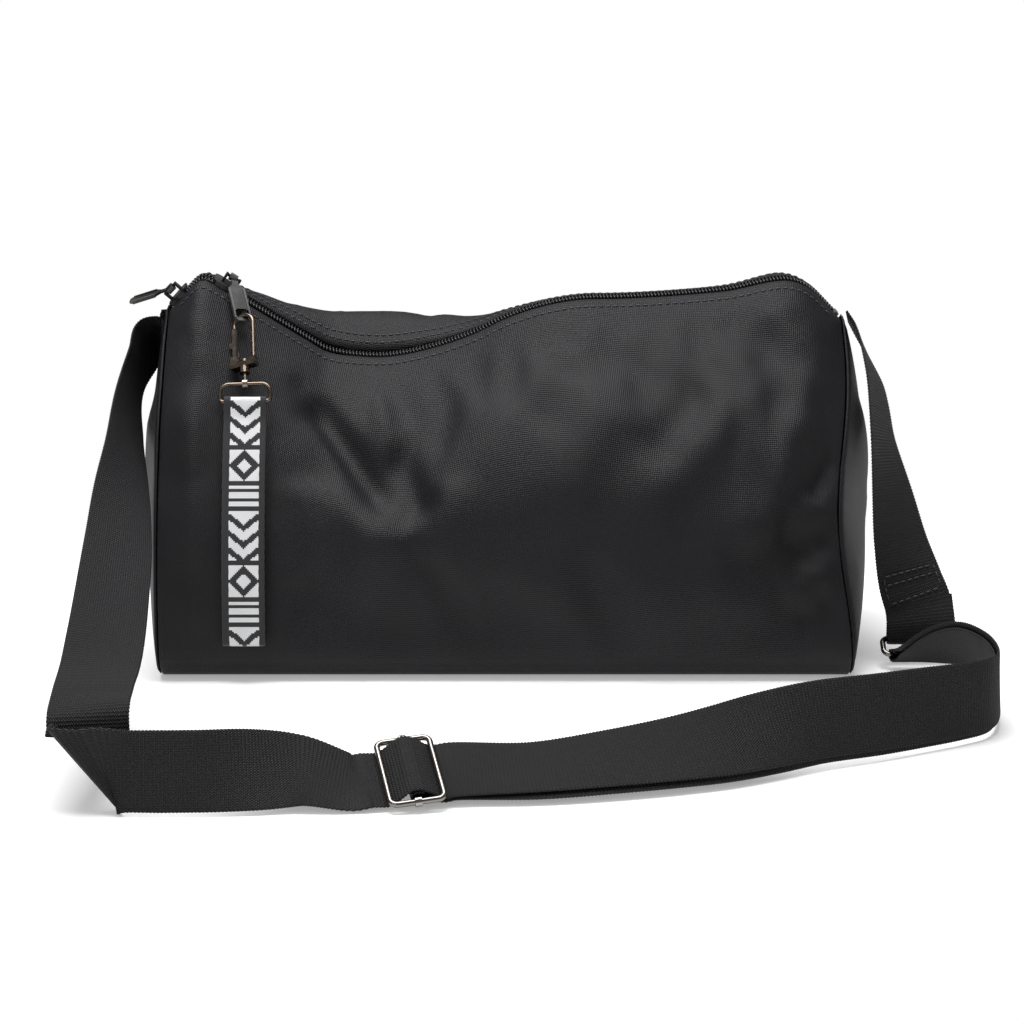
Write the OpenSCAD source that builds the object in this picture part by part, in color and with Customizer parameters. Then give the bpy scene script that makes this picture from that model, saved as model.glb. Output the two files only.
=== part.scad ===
// Duffel bag with a sagging top zip, a snap-hook key tag and an adjustable shoulder strap.
// Millimetres. +X runs along the bag to its right end, -Y is the front, +Z is up.
// The origin is the middle of the base, on the surface that the bag stands on.

/* [Bag] */
// Overall depth of the base, front to back
bag_depth = 180; // [150:1:200]
// Height of the zip above the floor where it runs level
zip_height = 205; // [190:1:215]
// Radius of the bend between the base and the front and back
base_radius = 18; // [12:1:24]
// Length of the front panel's straight pull below the zip, as a curve handle
front_shoulder = 38; // [30:1:46]
// Length of the front panel's upright pull above the base, as a curve handle
front_upright = 88; // [75:1:100]
// Slope of the front panel where it leaves the zip, in degrees
front_slope = 42; // [34:1:46]
// Length of the rear panel's pull behind the zip, as a curve handle
rear_shoulder = 40; // [32:1:48]
// Length of the rear panel's upright pull above the base, as a curve handle
rear_upright = 95; // [80:1:105]
// Thickness of the padded panel cloth
panel_wall = 2; // [1.4:0.1:2.2]
// Thickness of the lining cloth
lining_wall = 0.8; // [0.5:0.1:1.2]
// Thickness of the binding over the inside seams
binding_wall = 1; // [0.6:0.1:1.4]
// Width of the binding over the inside seams
binding_width = 8; // [5:1:12]
// How far the left end panel bulges
left_bulge = 11; // [10:0.5:15]
// How far the right end panel bulges
right_bulge = 13.5; // [12:0.5:16]
// How far the right end seam is pulled in halfway up the front
right_pucker = 9; // [0:0.5:11]
// Gap between cloth pieces that are sewn together
cloth_gap = 0.3; // [0.2:0.05:0.4]

/* [Zip] */
// Forward tilt of the plane that the zip lies in, in degrees
zip_tilt = 12; // [8:1:15]
// Distance of the zip's plane behind the middle of the bag, at zip_height
zip_offset = -8; // [-12:1:-4]
// Depth of the sag in the middle of the zip
zip_sag = 40; // [34:1:43]
// Distance from the zip's centre line to the edge of the panel cloth
cloth_edge = 7.2; // [6.8:0.1:8]
// Distance from the zip's centre line to the inner edge of each tape
tape_inner = 1.9; // [1.8:0.1:2.2]
// Thickness of the zip tape
tape_thickness = 0.6; // [0.4:0.1:0.8]
// Width of the tape flap that is sewn under the panel
tape_flap = 6; // [4:0.5:8]
// Width of one coil
coil_width = 2.7; // [2.4:0.1:2.9]
// Thickness of the coil
coil_thickness = 2.8; // [2.4:0.1:3]
// Sideways spread of each coil where the sliders hold them apart
coil_spread = 1.7; // [1.6:0.05:1.8]

/* [Sliders and pullers] */
// Length of the main slider's body
main_slider_length = 17; // [15:0.5:17]
// Length of the end slider's body
end_slider_length = 13; // [12:0.5:13.5]
// Half width of a slider at its wide end
slider_half_width = 5.9; // [5.7:0.1:6.2]
// Thickness of the slider's plates
slider_plate = 1.2; // [1:0.1:1.4]
// Radius of the post between the slider's plates
slider_post_r = 1.4; // [1.2:0.05:1.45]
// Height of the bridge bar's middle above the zip's surface
bridge_height = 7; // [6.8:0.1:8]
// Radius of the bridge bar
bridge_r = 0.9; // [0.7:0.05:1]
// Clear length under the bridge
bridge_span = 6.6; // [6.2:0.1:7.4]
// Thickness of a bridge leg
bridge_leg = 1.4; // [1:0.1:1.8]
// Running clearance of a puller's eye around the bridge bar
eye_clearance = 0.35; // [0.25:0.05:0.5]
// Length of the main puller, bridge bar to hole rim
main_puller_length = 31; // [28:0.5:33]
// Length of the end puller, bridge bar to tip
end_puller_length = 23; // [20:0.5:26]
// Width of a puller's plate
puller_width = 9.5; // [8.6:0.1:10]
// Thickness of a puller's plate
puller_plate = 1.2; // [1:0.1:1.4]
// Width of the raised rail along each edge of a puller
puller_rail = 1.2; // [0.8:0.1:1.3]

/* [Snap hook and tag] */
// Length of the snap hook, hole rim to the middle of the swivel
hook_length = 40; // [38:0.5:42]
// Inner radius of the hook's arch
hook_arch_r = 4.5; // [4.3:0.1:4.8]
// Radius of the hook's bar
hook_bar_r = 1.2; // [1:0.05:1.3]
// Radius of the gate's hinge pin
gate_pin_r = 0.6; // [0.5:0.05:0.7]
// Clearance of the gate around its pin
pin_clearance = 0.05; // [0.03:0.01:0.08]
// Radius of the swivel's stem
swivel_stem_r = 1.1; // [0.9:0.05:1.3]
// Outer width of the oval ring
tag_ring_width = 29; // [27:0.5:31]
// Outer height of the oval ring
tag_ring_height = 12; // [11:0.5:14]
// Radius of the oval ring's wire
tag_ring_r = 1; // [0.8:0.05:1.2]
// Width of the tag's webbing
tag_width = 23; // [20:0.5:23]
// Thickness of the tag, two layers of webbing
tag_thickness = 3.2; // [2.6:0.1:3.6]
// Clearance between the tag and the front panel
tag_clearance = 1.6; // [1.2:0.1:3]

/* [Shoulder strap] */
// Width of the strap webbing
strap_width = 38; // [34:1:39]
// Thickness of the strap webbing
strap_thickness = 1.5; // [1.2:0.1:1.6]
// Radius of the adjuster's wire
adjuster_wire_r = 1.5; // [1.3:0.05:1.6]
// Outer length of the adjuster, along the strap
adjuster_length = 28; // [27:0.5:30]
// Outer height of the adjuster, across the strap
adjuster_height = 46; // [45:0.5:48]
// Radius of the adjuster's sliding centre bar
centre_bar_r = 1.2; // [1.1:0.05:1.3]
// Radius of the strap ring's wire
strap_ring_r = 1.5; // [1.3:0.05:1.6]
// Outer height of the strap ring, bar to bar
strap_ring_height = 15; // [14:0.5:17]
// Outer width of the strap ring
strap_ring_width = 46; // [45:0.5:48]

/* [Hidden] */

cloth_black = [0.10, 0.10, 0.11];
webbing_black = [0.07, 0.07, 0.08];
coil_black = [0.05, 0.05, 0.05];
gunmetal = [0.36, 0.34, 0.32];
lining_black = [0.16, 0.16, 0.17];
tag_grey = [0.22, 0.22, 0.23];

// ---------- small maths ----------

function unit(v) = v / norm(v);
function mix(a, b, t) = a + (b - a) * t;
function clamp01(t) = max(0, min(1, t));
function bez(p, t) = p[0] * pow(1 - t, 3) + 3 * p[1] * t * pow(1 - t, 2)
                     + 3 * p[2] * t * t * (1 - t) + p[3] * t * t * t;
function line4(a, b) = [a, mix(a, b, 1 / 3), mix(a, b, 2 / 3), b];
function rot_x(a, v) = [v.x, v.y * cos(a) - v.z * sin(a), v.y * sin(a) + v.z * cos(a)];
function rot_y(a, v) = [v.x * cos(a) + v.z * sin(a), v.y, -v.x * sin(a) + v.z * cos(a)];

// ---------- the zip's line, in its own plane: x along the bag, v up the plane from zip_height ----------

flank_angle = -33;
lead_angle = 47;
left_end = [-187, -11.5];
lead_top = left_end + 18.3 * [cos(lead_angle), sin(lead_angle)];
main_slider_at = [-156, -0.5];
flank_top = main_slider_at - 9 * [cos(flank_angle), sin(flank_angle)];
flank_bottom = main_slider_at + 63.5 * [cos(flank_angle), sin(flank_angle)];
end_slider_at = left_end + 8 * [cos(lead_angle), sin(lead_angle)];
trough = [-72, -zip_sag];
rise = [-10, -22];
shelf = [50, -5.6];
climb = [120, -1.2];
right_crest = [154, 5.2];
right_shoulder = [173, -3.8];
right_end = [186, -17.5];

zip_segments = [
    line4(left_end, lead_top),
    [lead_top, lead_top + 5.5 * [cos(lead_angle), sin(lead_angle)],
     flank_top - 5.5 * [cos(flank_angle), sin(flank_angle)], flank_top],
    line4(flank_top, flank_bottom),
    [flank_bottom, flank_bottom + 5 * [cos(flank_angle), sin(flank_angle)], trough - [12, 0], trough],
    [trough, trough + [17, 0], rise - [15, 8.5], rise],
    [rise, rise + [14, 8], shelf - [22, 0], shelf],
    [shelf, shelf + [25, 0], climb - [15, 1.6], climb],
    [climb, climb + [12, 1.2], right_crest - [11, 0], right_crest],
    [right_crest, right_crest + [8, 0], right_shoulder - [4.5, -4.5], right_shoulder],
    line4(right_shoulder, right_end)];
zip_steps = [1, 4, 4, 3, 5, 4, 3, 2, 3, 1];

// each sample of the line is [x, v, slope in degrees]
function slope_at(seg, t) =
    let (a = bez(seg, max(0, t - 0.01)), b = bez(seg, min(1, t + 0.01))) atan2(b[1] - a[1], b[0] - a[0]);
function sample(seg, t) = let (p = bez(seg, t)) [p[0], p[1], slope_at(seg, t)];
zip_line = [
    for (s = [0 : len(zip_segments) - 1])
        for (k = [0 : zip_steps[s] - 1])
            sample(zip_segments[s], k / zip_steps[s]),
    sample(zip_segments[len(zip_segments) - 1], 1)];

// ---------- from the zip's plane to the bag ----------

rear_dir = [0, cos(zip_tilt), sin(zip_tilt)];
plane_up = [0, -sin(zip_tilt), cos(zip_tilt)];
function on_plane(x, v) = [x, zip_offset - v * sin(zip_tilt), zip_height + v * cos(zip_tilt)];
function zip_normal(q) = [-sin(q[2]), 0, 0] + cos(q[2]) * plane_up;
// a is sideways from the centre line towards the rear, b is out of the zip's surface
function on_zip(q, a, b) = on_plane(q[0], q[1]) + a * rear_dir + b * zip_normal(q);

// ---------- the panel's outline across the bag at one place along the zip ----------

half_depth = bag_depth / 2;
front_dir = [-cos(front_slope), -sin(front_slope)];
sag_depth = 40;
end_zone = 150;
end_fall = -20;
function sag_share(q) = clamp01(-q[1] / sag_depth);
function end_share(q) = clamp01((abs(q[0]) - end_zone) / 36);
// slope of the rear crest: it falls back on the full side and climbs at the trough
crest_steep = 52;
crest_full = -8;
full_zone = [110, 45];
function full_share(q) = q[0] < trough_x ? 0 : 1 - clamp01((q[0] - full_zone[0]) / full_zone[1]);
trough_x = -72;
function crest(q) =
    mix(mix(zip_tilt, crest_full, full_share(q)), crest_steep, pow(sag_share(q), q[0] < trough_x ? 0.9 : 1.6));
function rear_angle(q) = mix(crest(q), end_fall, end_share(q));
function rear_reach(q) = rear_shoulder + 45 * sag_share(q);
function edge_yz(q, a) = let (p = on_plane(q[0], q[1]) + a * rear_dir) [p.y, p.z];
curve_steps = 9;
bend_steps = 3;
function front_curve(q) =
    let (p = edge_yz(q, -cloth_edge))
    [p, p + front_shoulder * front_dir, [-half_depth, base_radius + front_upright], [-half_depth, base_radius]];
function rear_curve(q) =
    let (p = edge_yz(q, cloth_edge), a = rear_angle(q))
    [p, p + rear_reach(q) * [cos(a), sin(a)], [half_depth, base_radius + rear_upright],
     [half_depth, base_radius]];
function outline(q) = [
    for (k = [0 : curve_steps]) bez(front_curve(q), k / curve_steps),
    for (k = [1 : bend_steps])
        let (a = 90 * k / bend_steps)
        [-half_depth + base_radius - base_radius * cos(a), base_radius - base_radius * sin(a)],
    for (k = [bend_steps : -1 : 1])
        let (a = 90 * k / bend_steps)
        [half_depth - base_radius + base_radius * cos(a), base_radius - base_radius * sin(a)],
    for (k = [curve_steps : -1 : 0]) bez(rear_curve(q), k / curve_steps)];

// an outline moved inwards by d, square to its own run
function inset(line, d) = [
    for (k = [0 : len(line) - 1])
        let (a = line[max(0, k - 1)], b = line[min(len(line) - 1, k + 1)], u = unit(b - a))
        line[k] + d * [-u[1], u[0]]];

// the right end seam is drawn in halfway up the front
pucker_zone = 110;
function pucker(x, y, z) =
    right_pucker * pow(clamp01((x - pucker_zone) / (right_end[0] - pucker_zone)), 2)
    * pow(sin(180 * clamp01((z - 8) / 165)), 2) * clamp01((half_depth - y) / bag_depth);
function wrap_point(x, p) = [x - pucker(x, p[0], p[1]), p[0], p[1]];
function panel_grid(d, trim) = [
    for (q = zip_line)
        let (line = inset(outline(q), d), n = len(line))
        [for (k = [trim : n - 1 - trim]) wrap_point(q[0], line[k])]];

// ---------- solids from grids of points ----------

// a closed sheet between two grids of the same size
module sheet(a, b) {
    rows = len(a);
    cols = len(a[0]);
    n = rows * cols;
    points = concat([for (r = a) each r], [for (r = b) each r]);
    function id(i, j) = i * cols + j;
    function quad(p, q, r, s) = [[p, q, r], [p, r, s]];
    faces = concat(
        [for (i = [0 : rows - 2]) for (j = [0 : cols - 2])
            each quad(id(i, j), id(i + 1, j), id(i + 1, j + 1), id(i, j + 1))],
        [for (i = [0 : rows - 2]) for (j = [0 : cols - 2])
            each quad(n + id(i, j), n + id(i, j + 1), n + id(i + 1, j + 1), n + id(i + 1, j))],
        [for (i = [0 : rows - 2]) each quad(id(i, 0), n + id(i, 0), n + id(i + 1, 0), id(i + 1, 0))],
        [for (i = [0 : rows - 2])
            each quad(id(i, cols - 1), id(i + 1, cols - 1), n + id(i + 1, cols - 1), n + id(i, cols - 1))],
        [for (j = [0 : cols - 2]) each quad(id(0, j), id(0, j + 1), n + id(0, j + 1), n + id(0, j))],
        [for (j = [0 : cols - 2])
            each quad(id(rows - 1, j), n + id(rows - 1, j), n + id(rows - 1, j + 1), id(rows - 1, j + 1))]);
    polyhedron(points = points, faces = faces);
}

// a closed dome between two sets of rings, the last ring shrunk to a point
module dome(a, b) {
    rings = len(a) - 1;
    cols = len(a[0]);
    n = rings * cols + 1;
    points = concat([for (i = [0 : rings - 1]) each a[i]], [a[rings][0]],
                    [for (i = [0 : rings - 1]) each b[i]], [b[rings][0]]);
    function id(i, j) = i * cols + j % cols;
    function quad(p, q, r, s) = [[p, q, r], [p, r, s]];
    faces = concat(
        [for (i = [0 : rings - 2]) for (j = [0 : cols - 1])
            each quad(id(i, j), id(i, j + 1), id(i + 1, j + 1), id(i + 1, j))],
        [for (j = [0 : cols - 1]) [id(rings - 1, j), id(rings - 1, j + 1), n - 1]],
        [for (i = [0 : rings - 2]) for (j = [0 : cols - 1])
            each quad(n + id(i, j), n + id(i + 1, j), n + id(i + 1, j + 1), n + id(i, j + 1))],
        [for (j = [0 : cols - 1]) [n + id(rings - 1, j + 1), n + id(rings - 1, j), 2 * n - 1]],
        [for (j = [0 : cols - 1]) each quad(id(0, j), n + id(0, j), n + id(0, j + 1), id(0, j + 1))]);
    polyhedron(points = points, faces = faces);
}

// ---------- cloth ----------

module main_panel()
    color(cloth_black) sheet(panel_grid(0, 0), panel_grid(panel_wall, 0));

lining_depth = panel_wall + cloth_gap;
module lining()
    color(lining_black) sheet(panel_grid(lining_depth, 1), panel_grid(lining_depth + lining_wall, 1));

// rings from the end seam to the middle of an end panel
dome_rings = 5;
dome_middle = [-2, 92];
function dome_grid(q, side, bulge, lift) = [
    for (i = [0 : dome_rings])
        let (r = 1 - i / dome_rings)
        [for (p = outline(q))
            let (x = mix(abs(q[0]), abs(wrap_point(q[0], p).x), r), c = mix(dome_middle, p, r))
            [side * (x + cloth_gap + lift + bulge * (1 - r * r)), c[0], c[1]]]];

module end_panel_left()
    color(cloth_black)
        dome(dome_grid(zip_line[0], -1, left_bulge, panel_wall), dome_grid(zip_line[0], -1, left_bulge, 0));

last_station = zip_line[len(zip_line) - 1];
module end_panel_right()
    color(cloth_black)
        dome(dome_grid(last_station, 1, right_bulge, 0), dome_grid(last_station, 1, right_bulge, panel_wall));

// a bound seam: a band inside the lining, from just inside the end panel
binding_depth = lining_depth + lining_wall + cloth_gap;
binding_start = 1;
function band(q, inner, d) = [
    for (w = [binding_start, binding_start + binding_width])
        let (t = w / abs(inner[0] - q[0]), outside = inset(outline(q), d), inside = inset(outline(inner), d))
        [for (k = [1 : len(outside) - 2])
            mix(wrap_point(q[0], outside[k]), wrap_point(inner[0], inside[k]), t)]];
module seam_binding_left()
    color(webbing_black)
        sheet(band(zip_line[0], zip_line[1], binding_depth),
              band(zip_line[0], zip_line[1], binding_depth + binding_wall));
module seam_binding_right() {
    inner = zip_line[len(zip_line) - 2];
    color(webbing_black)
        sheet(band(last_station, inner, binding_depth + binding_wall),
              band(last_station, inner, binding_depth));
}

// ---------- zip ----------

coil_top = 0.9;
coil_bottom = coil_top - coil_thickness;
coil_gap = 0.1;
tape_top = -panel_wall - cloth_gap;

// how far the coils are spread along the zip: full between the two slider noses
function spread(x) =
    let (from = end_slider_at[0], to = main_slider_at[0])
    coil_spread * clamp01((x - from + 1) / 5) * clamp01((to + 2 - x) / 6);
// extra places along the straight stretches, so that the spread is followed closely
coil_line = [
    for (s = [0 : len(zip_segments) - 1])
        let (n = s < 3 ? 3 * zip_steps[s] + 5 : 2 * zip_steps[s])
        for (k = [0 : n - 1])
            sample(zip_segments[s], k / n),
    sample(zip_segments[len(zip_segments) - 1], 1)];
stop_length = 4;
coil_run = [for (q = coil_line) if (q[0] > left_end[0] + stop_length && q[0] < right_end[0] - stop_length) q];

module coil(side) {
    function row(b) = [
        for (q = coil_run)
            [for (a = [coil_gap, coil_gap + coil_width]) on_zip(q, side * (a + spread(q[0])), b)]];
    color(coil_black)
        if (side > 0) sheet(row(coil_bottom), row(coil_top)); else sheet(row(coil_top), row(coil_bottom));
}
module zip_coil_front() coil(-1);
module zip_coil_rear() coil(1);

// the tape runs flat past the slider's edge and then follows the panel that it is sewn under
function reversed(list) = [for (k = [len(list) - 1 : -1 : 0]) list[k]];
flap_gap = 1.2;
function tape_section(q, side, m) =
    let (line = side < 0 ? outline(q) : reversed(outline(q)), under = inset(line, -side * (m + flap_gap)),
         chord = side * (line[1] - line[0]), bend = side * (zip_tilt - atan2(chord[1], chord[0])),
         reach = tape_flap / norm(under[1] - under[0]))
    [on_zip(q, side * tape_inner, -m), on_zip(q, side * (cloth_edge - m * tan(bend / 2)), -m),
     wrap_point(q[0], mix(under[0], under[1], reach))];
module tape(side) {
    upper = [for (q = zip_line) tape_section(q, side, -tape_top)];
    lower = [for (q = zip_line) tape_section(q, side, tape_thickness - tape_top)];
    color(coil_black) if (side > 0) sheet(lower, upper); else sheet(upper, lower);
}
module zip_tape_front() tape(-1);
module zip_tape_rear() tape(1);

// places children in the zip's frame: X along the zip, Y to the rear, Z out of it
module at_zip(x, v, slope)
    translate(on_plane(x, v)) rotate([zip_tilt, 0, 0]) rotate([0, -slope, 0]) children();

module end_stop()
    translate([-1.2, -coil_gap - coil_width, coil_bottom])
        cube([2.4, 2 * (coil_gap + coil_width), coil_thickness]);
module zip_end_stops()
    color(gunmetal) {
        at_zip(left_end[0] + 2.2, left_end[1] + 2.2 * tan(lead_angle), lead_angle) end_stop();
        at_zip(right_end[0] - 2.2, right_end[1] + 2.2 * tan(-last_station[2]), last_station[2]) end_stop();
    }

// ---------- sliders: the wide end and its post are at -X ----------

slider_gap = 0.4;
plate_low = coil_top + slider_gap;
plate_high = plate_low + slider_plate;
under_high = tape_top - tape_thickness - slider_gap;
tail_half = coil_gap + coil_width + 0.5 + 1.3;
nose_inner = coil_gap + coil_width + coil_spread + 0.5;
bridge_shift = 0.5;

module slider(length) {
    half = length / 2;
    module plate_outline()
        polygon([[-half, -slider_half_width + 1.6], [-half + 2, -slider_half_width], [-0.5, -slider_half_width],
                 [2.5, -tail_half], [half - 0.8, -tail_half], [half, -tail_half + 0.8],
                 [half, tail_half - 0.8], [half - 0.8, tail_half], [2.5, tail_half],
                 [-0.5, slider_half_width], [-half + 2, slider_half_width], [-half, slider_half_width - 1.6]]);
    module channel()
        polygon([[-half - 1, -nose_inner], [-0.5, -nose_inner], [3, -tail_half + 1.1], [half + 1, -tail_half + 1.1],
                 [half + 1, tail_half - 1.1], [3, tail_half - 1.1], [-0.5, nose_inner], [-half - 1, nose_inner]]);
    bridge_half = bridge_span / 2;
    color(gunmetal) {
        translate([0, 0, plate_low]) linear_extrude(slider_plate) plate_outline();
        translate([0, 0, tape_top + slider_gap])
            linear_extrude(plate_low - tape_top - slider_gap + 0.2) difference() { plate_outline(); channel(); }
        translate([0, 0, under_high - slider_plate]) linear_extrude(slider_plate) plate_outline();
        translate([-half + 2.2, 0, under_high - 0.2])
            cylinder(r = slider_post_r, h = plate_low - under_high + 0.4, $fn = 32);
        translate([bridge_shift - bridge_half - bridge_leg, 0, bridge_height])
            rotate([0, 90, 0]) cylinder(r = bridge_r, h = bridge_span + 2 * bridge_leg, $fn = 32);
        for (x = [bridge_shift - bridge_half - bridge_leg, bridge_shift + bridge_half])
            translate([x, -1.2, plate_high - 0.2]) cube([bridge_leg, 2.4, bridge_height + bridge_r - plate_high + 0.2]);
    }
}
module main_slider()
    at_zip(main_slider_at[0], main_slider_at[1], flank_angle) slider(main_slider_length);
module end_slider()
    at_zip(end_slider_at[0], end_slider_at[1], lead_angle) mirror([1, 0, 0]) slider(end_slider_length);

// ---------- pullers ----------

main_q = [main_slider_at[0], main_slider_at[1], flank_angle];
end_q = [end_slider_at[0], end_slider_at[1], lead_angle];
along_main = rot_x(zip_tilt, [cos(flank_angle), 0, sin(flank_angle)]);
along_end = rot_x(zip_tilt, [cos(lead_angle), 0, sin(lead_angle)]);
main_pivot = on_zip(main_q, 0, bridge_height) + bridge_shift * along_main;
end_pivot = on_zip(end_q, 0, bridge_height) - bridge_shift * along_end;

// a hanging piece: its -Z runs down its own length, lean is away from upright, roll is to the right
module hang(at, lean, roll, yaw)
    translate(at) rotate([-lean, 0, 0]) rotate([0, -roll, 0]) rotate([0, 0, yaw]) children();
function hang_dir(lean, roll) = rot_x(-lean, rot_y(-roll, [0, 0, -1]));

eye_r = bridge_r + eye_clearance;
knuckle_wall = 0.95;
knuckle_length = 4.4;
neck_half = 1.9;
puller_lean = 47;
puller_roll = 14;
puller_yaw = 20;
main_puller_dir = hang_dir(puller_lean, puller_roll);
rim_at = main_pivot + main_puller_length * main_puller_dir;
rim_half = 1.1;
hole_height = 6.4;
hole_half = 3.8;

// the plate of a puller, hanging down -Z from its pivot, with raised side rails
module puller_plate_shape(length, hole) {
    half = puller_width / 2;
    thick = puller_plate / 2;
    end_z = -length - rim_half;
    difference() {
        union() {
            rotate([90, 0, 0]) translate([0, 0, -thick]) linear_extrude(puller_plate)
                polygon([[-neck_half, -eye_r - 0.3], [-neck_half, -5.5], [-half, -8.5], [-half, end_z + 2],
                         [-half + 2, end_z], [half - 2, end_z], [half, end_z + 2], [half, -8.5],
                         [neck_half, -5.5], [neck_half, -eye_r - 0.3]]);
            for (s = [-1, 1])
                translate([s * (half - puller_rail / 2) - puller_rail / 2, -thick - 0.4, end_z + 2])
                    cube([puller_rail, puller_plate + 0.8, -8.5 - end_z - 2]);
        }
        if (hole)
            translate([0, 0, -length + rim_half]) rotate([90, 0, 0]) translate([0, 0, -3]) linear_extrude(6)
                polygon([[-hole_half, 0.6], [-hole_half + 0.6, 0], [hole_half - 0.6, 0], [hole_half, 0.6],
                         [hole_half, hole_height - 1.5], [hole_half - 1.5, hole_height],
                         [-hole_half + 1.5, hole_height], [-hole_half, hole_height - 1.5]]);
    }
}

module knuckle(length)
    translate([-length / 2, 0, 0]) rotate([0, 90, 0])
        cylinder(r = eye_r + knuckle_wall, h = length, $fn = 40);
module knuckle_bore()
    translate([-20, 0, 0]) rotate([0, 90, 0]) cylinder(r = eye_r, h = 40, $fn = 40);

module main_puller()
    color(coil_black) difference() {
        union() {
            translate(main_pivot) rotate([zip_tilt, 0, 0]) rotate([0, -flank_angle, 0]) knuckle(knuckle_length);
            hang(main_pivot, puller_lean, puller_roll, puller_yaw)
                puller_plate_shape(main_puller_length, true);
        }
        translate(main_pivot) rotate([zip_tilt, 0, 0]) rotate([0, -flank_angle, 0]) knuckle_bore();
    }

// the end slider's puller turns on the bar the other way: it lies out past the end of the bag
end_puller_drop = 18;
module end_puller()
    color(coil_black) translate(end_pivot) rotate([zip_tilt, 0, 0]) {
        difference() {
            union() {
                rotate([0, -lead_angle, 0]) knuckle(knuckle_length);
                rotate([0, 90 - end_puller_drop, 0]) rotate([0, 0, 90])
                    puller_plate_shape(end_puller_length, false);
            }
            rotate([0, -lead_angle, 0]) knuckle_bore();
        }
    }

// ---------- snap hook, swivel and ring: local origin at the middle of the puller's rim ----------

hook_lean = 37;
hook_roll = 4;
hook_yaw = -24;
hook_sag = hook_arch_r - rim_half - 0.3;
module at_hook() hang(rim_at, hook_lean, hook_roll, hook_yaw) translate([0, 0, -hook_sag]) children();
hook_dir = hang_dir(hook_lean, hook_roll);
arch_line_r = hook_arch_r + hook_bar_r;
hook_base_z = hook_sag - 27;
hook_base_h = 5;
gate_pivot = [-arch_line_r, 0, hook_base_z + 2.2];
gate_length = -1.5 - gate_pivot.z - 0.3;
gate_half = 1.1;
lug_gap = 0.25;
pin_hole_r = gate_pin_r + pin_clearance;
stem_hole_r = swivel_stem_r + 0.1;

module snap_hook()
    color(gunmetal) at_hook() difference() {
        union() {
            rotate([90, 0, 0]) rotate_extrude(angle = 180, $fn = 48)
                translate([arch_line_r, 0]) circle(r = hook_bar_r, $fn = 20);
            translate([arch_line_r, 0, hook_base_z]) cylinder(r = hook_bar_r, h = -hook_base_z, $fn = 20);
            translate([-arch_line_r, 0, -1.5]) cylinder(r = hook_bar_r, h = 1.5, $fn = 20);
            translate([-arch_line_r - 2, -2.4, hook_base_z - hook_base_h + 2])
                cube([2 * arch_line_r + 3.4, 4.8, hook_base_h - 2]);
            for (y = [-2.4, gate_half + lug_gap])
                translate([-arch_line_r - 2, y, hook_base_z - 1])
                    cube([4, 2.4 - gate_half - lug_gap, 5.2]);
            translate([arch_line_r - 1.4, -1.8, hook_base_z - 1]) cube([2.8, 3.6, 3]);
            translate([0, 0, hook_base_z - hook_base_h - 1.6]) cylinder(r = 2.8, h = 4, $fn = 32);
        }
        translate(gate_pivot + [0, 4, 0]) rotate([90, 0, 0]) cylinder(r = gate_pin_r, h = 8, $fn = 24);
        translate([0, 0, hook_base_z - hook_base_h - 3]) cylinder(r = stem_hole_r, h = 12, $fn = 24);
    }

module hook_gate()
    color(gunmetal) at_hook() difference() {
        union() {
            translate(gate_pivot + [0, gate_half, 0]) rotate([90, 0, 0])
                cylinder(r = 1.9, h = 2 * gate_half, $fn = 32);
            translate(gate_pivot + [-1, -gate_half, 0]) cube([2, 2 * gate_half, gate_length]);
            translate(gate_pivot + [-2.6, -gate_half, 8]) cube([1.8, 2 * gate_half, 3.4]);
        }
        translate(gate_pivot + [0, 4, 0]) rotate([90, 0, 0]) cylinder(r = pin_hole_r, h = 8, $fn = 24);
    }

module gate_pin()
    color(gunmetal) at_hook()
        translate(gate_pivot + [0, 2.6, 0]) rotate([90, 0, 0]) cylinder(r = gate_pin_r, h = 5.2, $fn = 24);

module gate_spring()
    color(gunmetal) at_hook()
        translate([-arch_line_r + 2, -0.4, hook_base_z + 0.2]) cube([0.5, 0.8, 7]);

swivel_at = -hook_length;
swivel_head_z = hook_base_z - hook_sag + 0.3;
module hook_swivel()
    color(gunmetal) hang(rim_at, hook_lean, hook_roll, 0) difference() {
        union() {
            translate([0, 0, swivel_at + 1])
                cylinder(r = swivel_stem_r, h = swivel_head_z - swivel_at - 0.8, $fn = 24);
            translate([0, 0, swivel_head_z]) cylinder(r = 2, h = 1.4, $fn = 24);
            translate([-1.3, 0, swivel_at]) rotate([0, 90, 0]) cylinder(r = 2.6, h = 2.6, $fn = 32);
        }
        translate([-3, 0, swivel_at]) rotate([0, 90, 0]) cylinder(r = tag_ring_r + 0.35, h = 6, $fn = 24);
    }

swivel_point = rim_at + hook_length * hook_dir;
ring_lean = 30;
ring_roll = 2;
ring_half_h = tag_ring_height / 2 - tag_ring_r;
ring_top_corner = ring_half_h - 0.2;
ring_low_corner = 1.8;
module tag_ring()
    color(gunmetal) hang(swivel_point, ring_lean, ring_roll, 0) translate([0, 0, -ring_half_h])
        wire_frame(tag_ring_width, tag_ring_height, tag_ring_r, ring_top_corner, ring_low_corner);

// ---------- tag: it follows the front panel at its own clearance ----------

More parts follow.
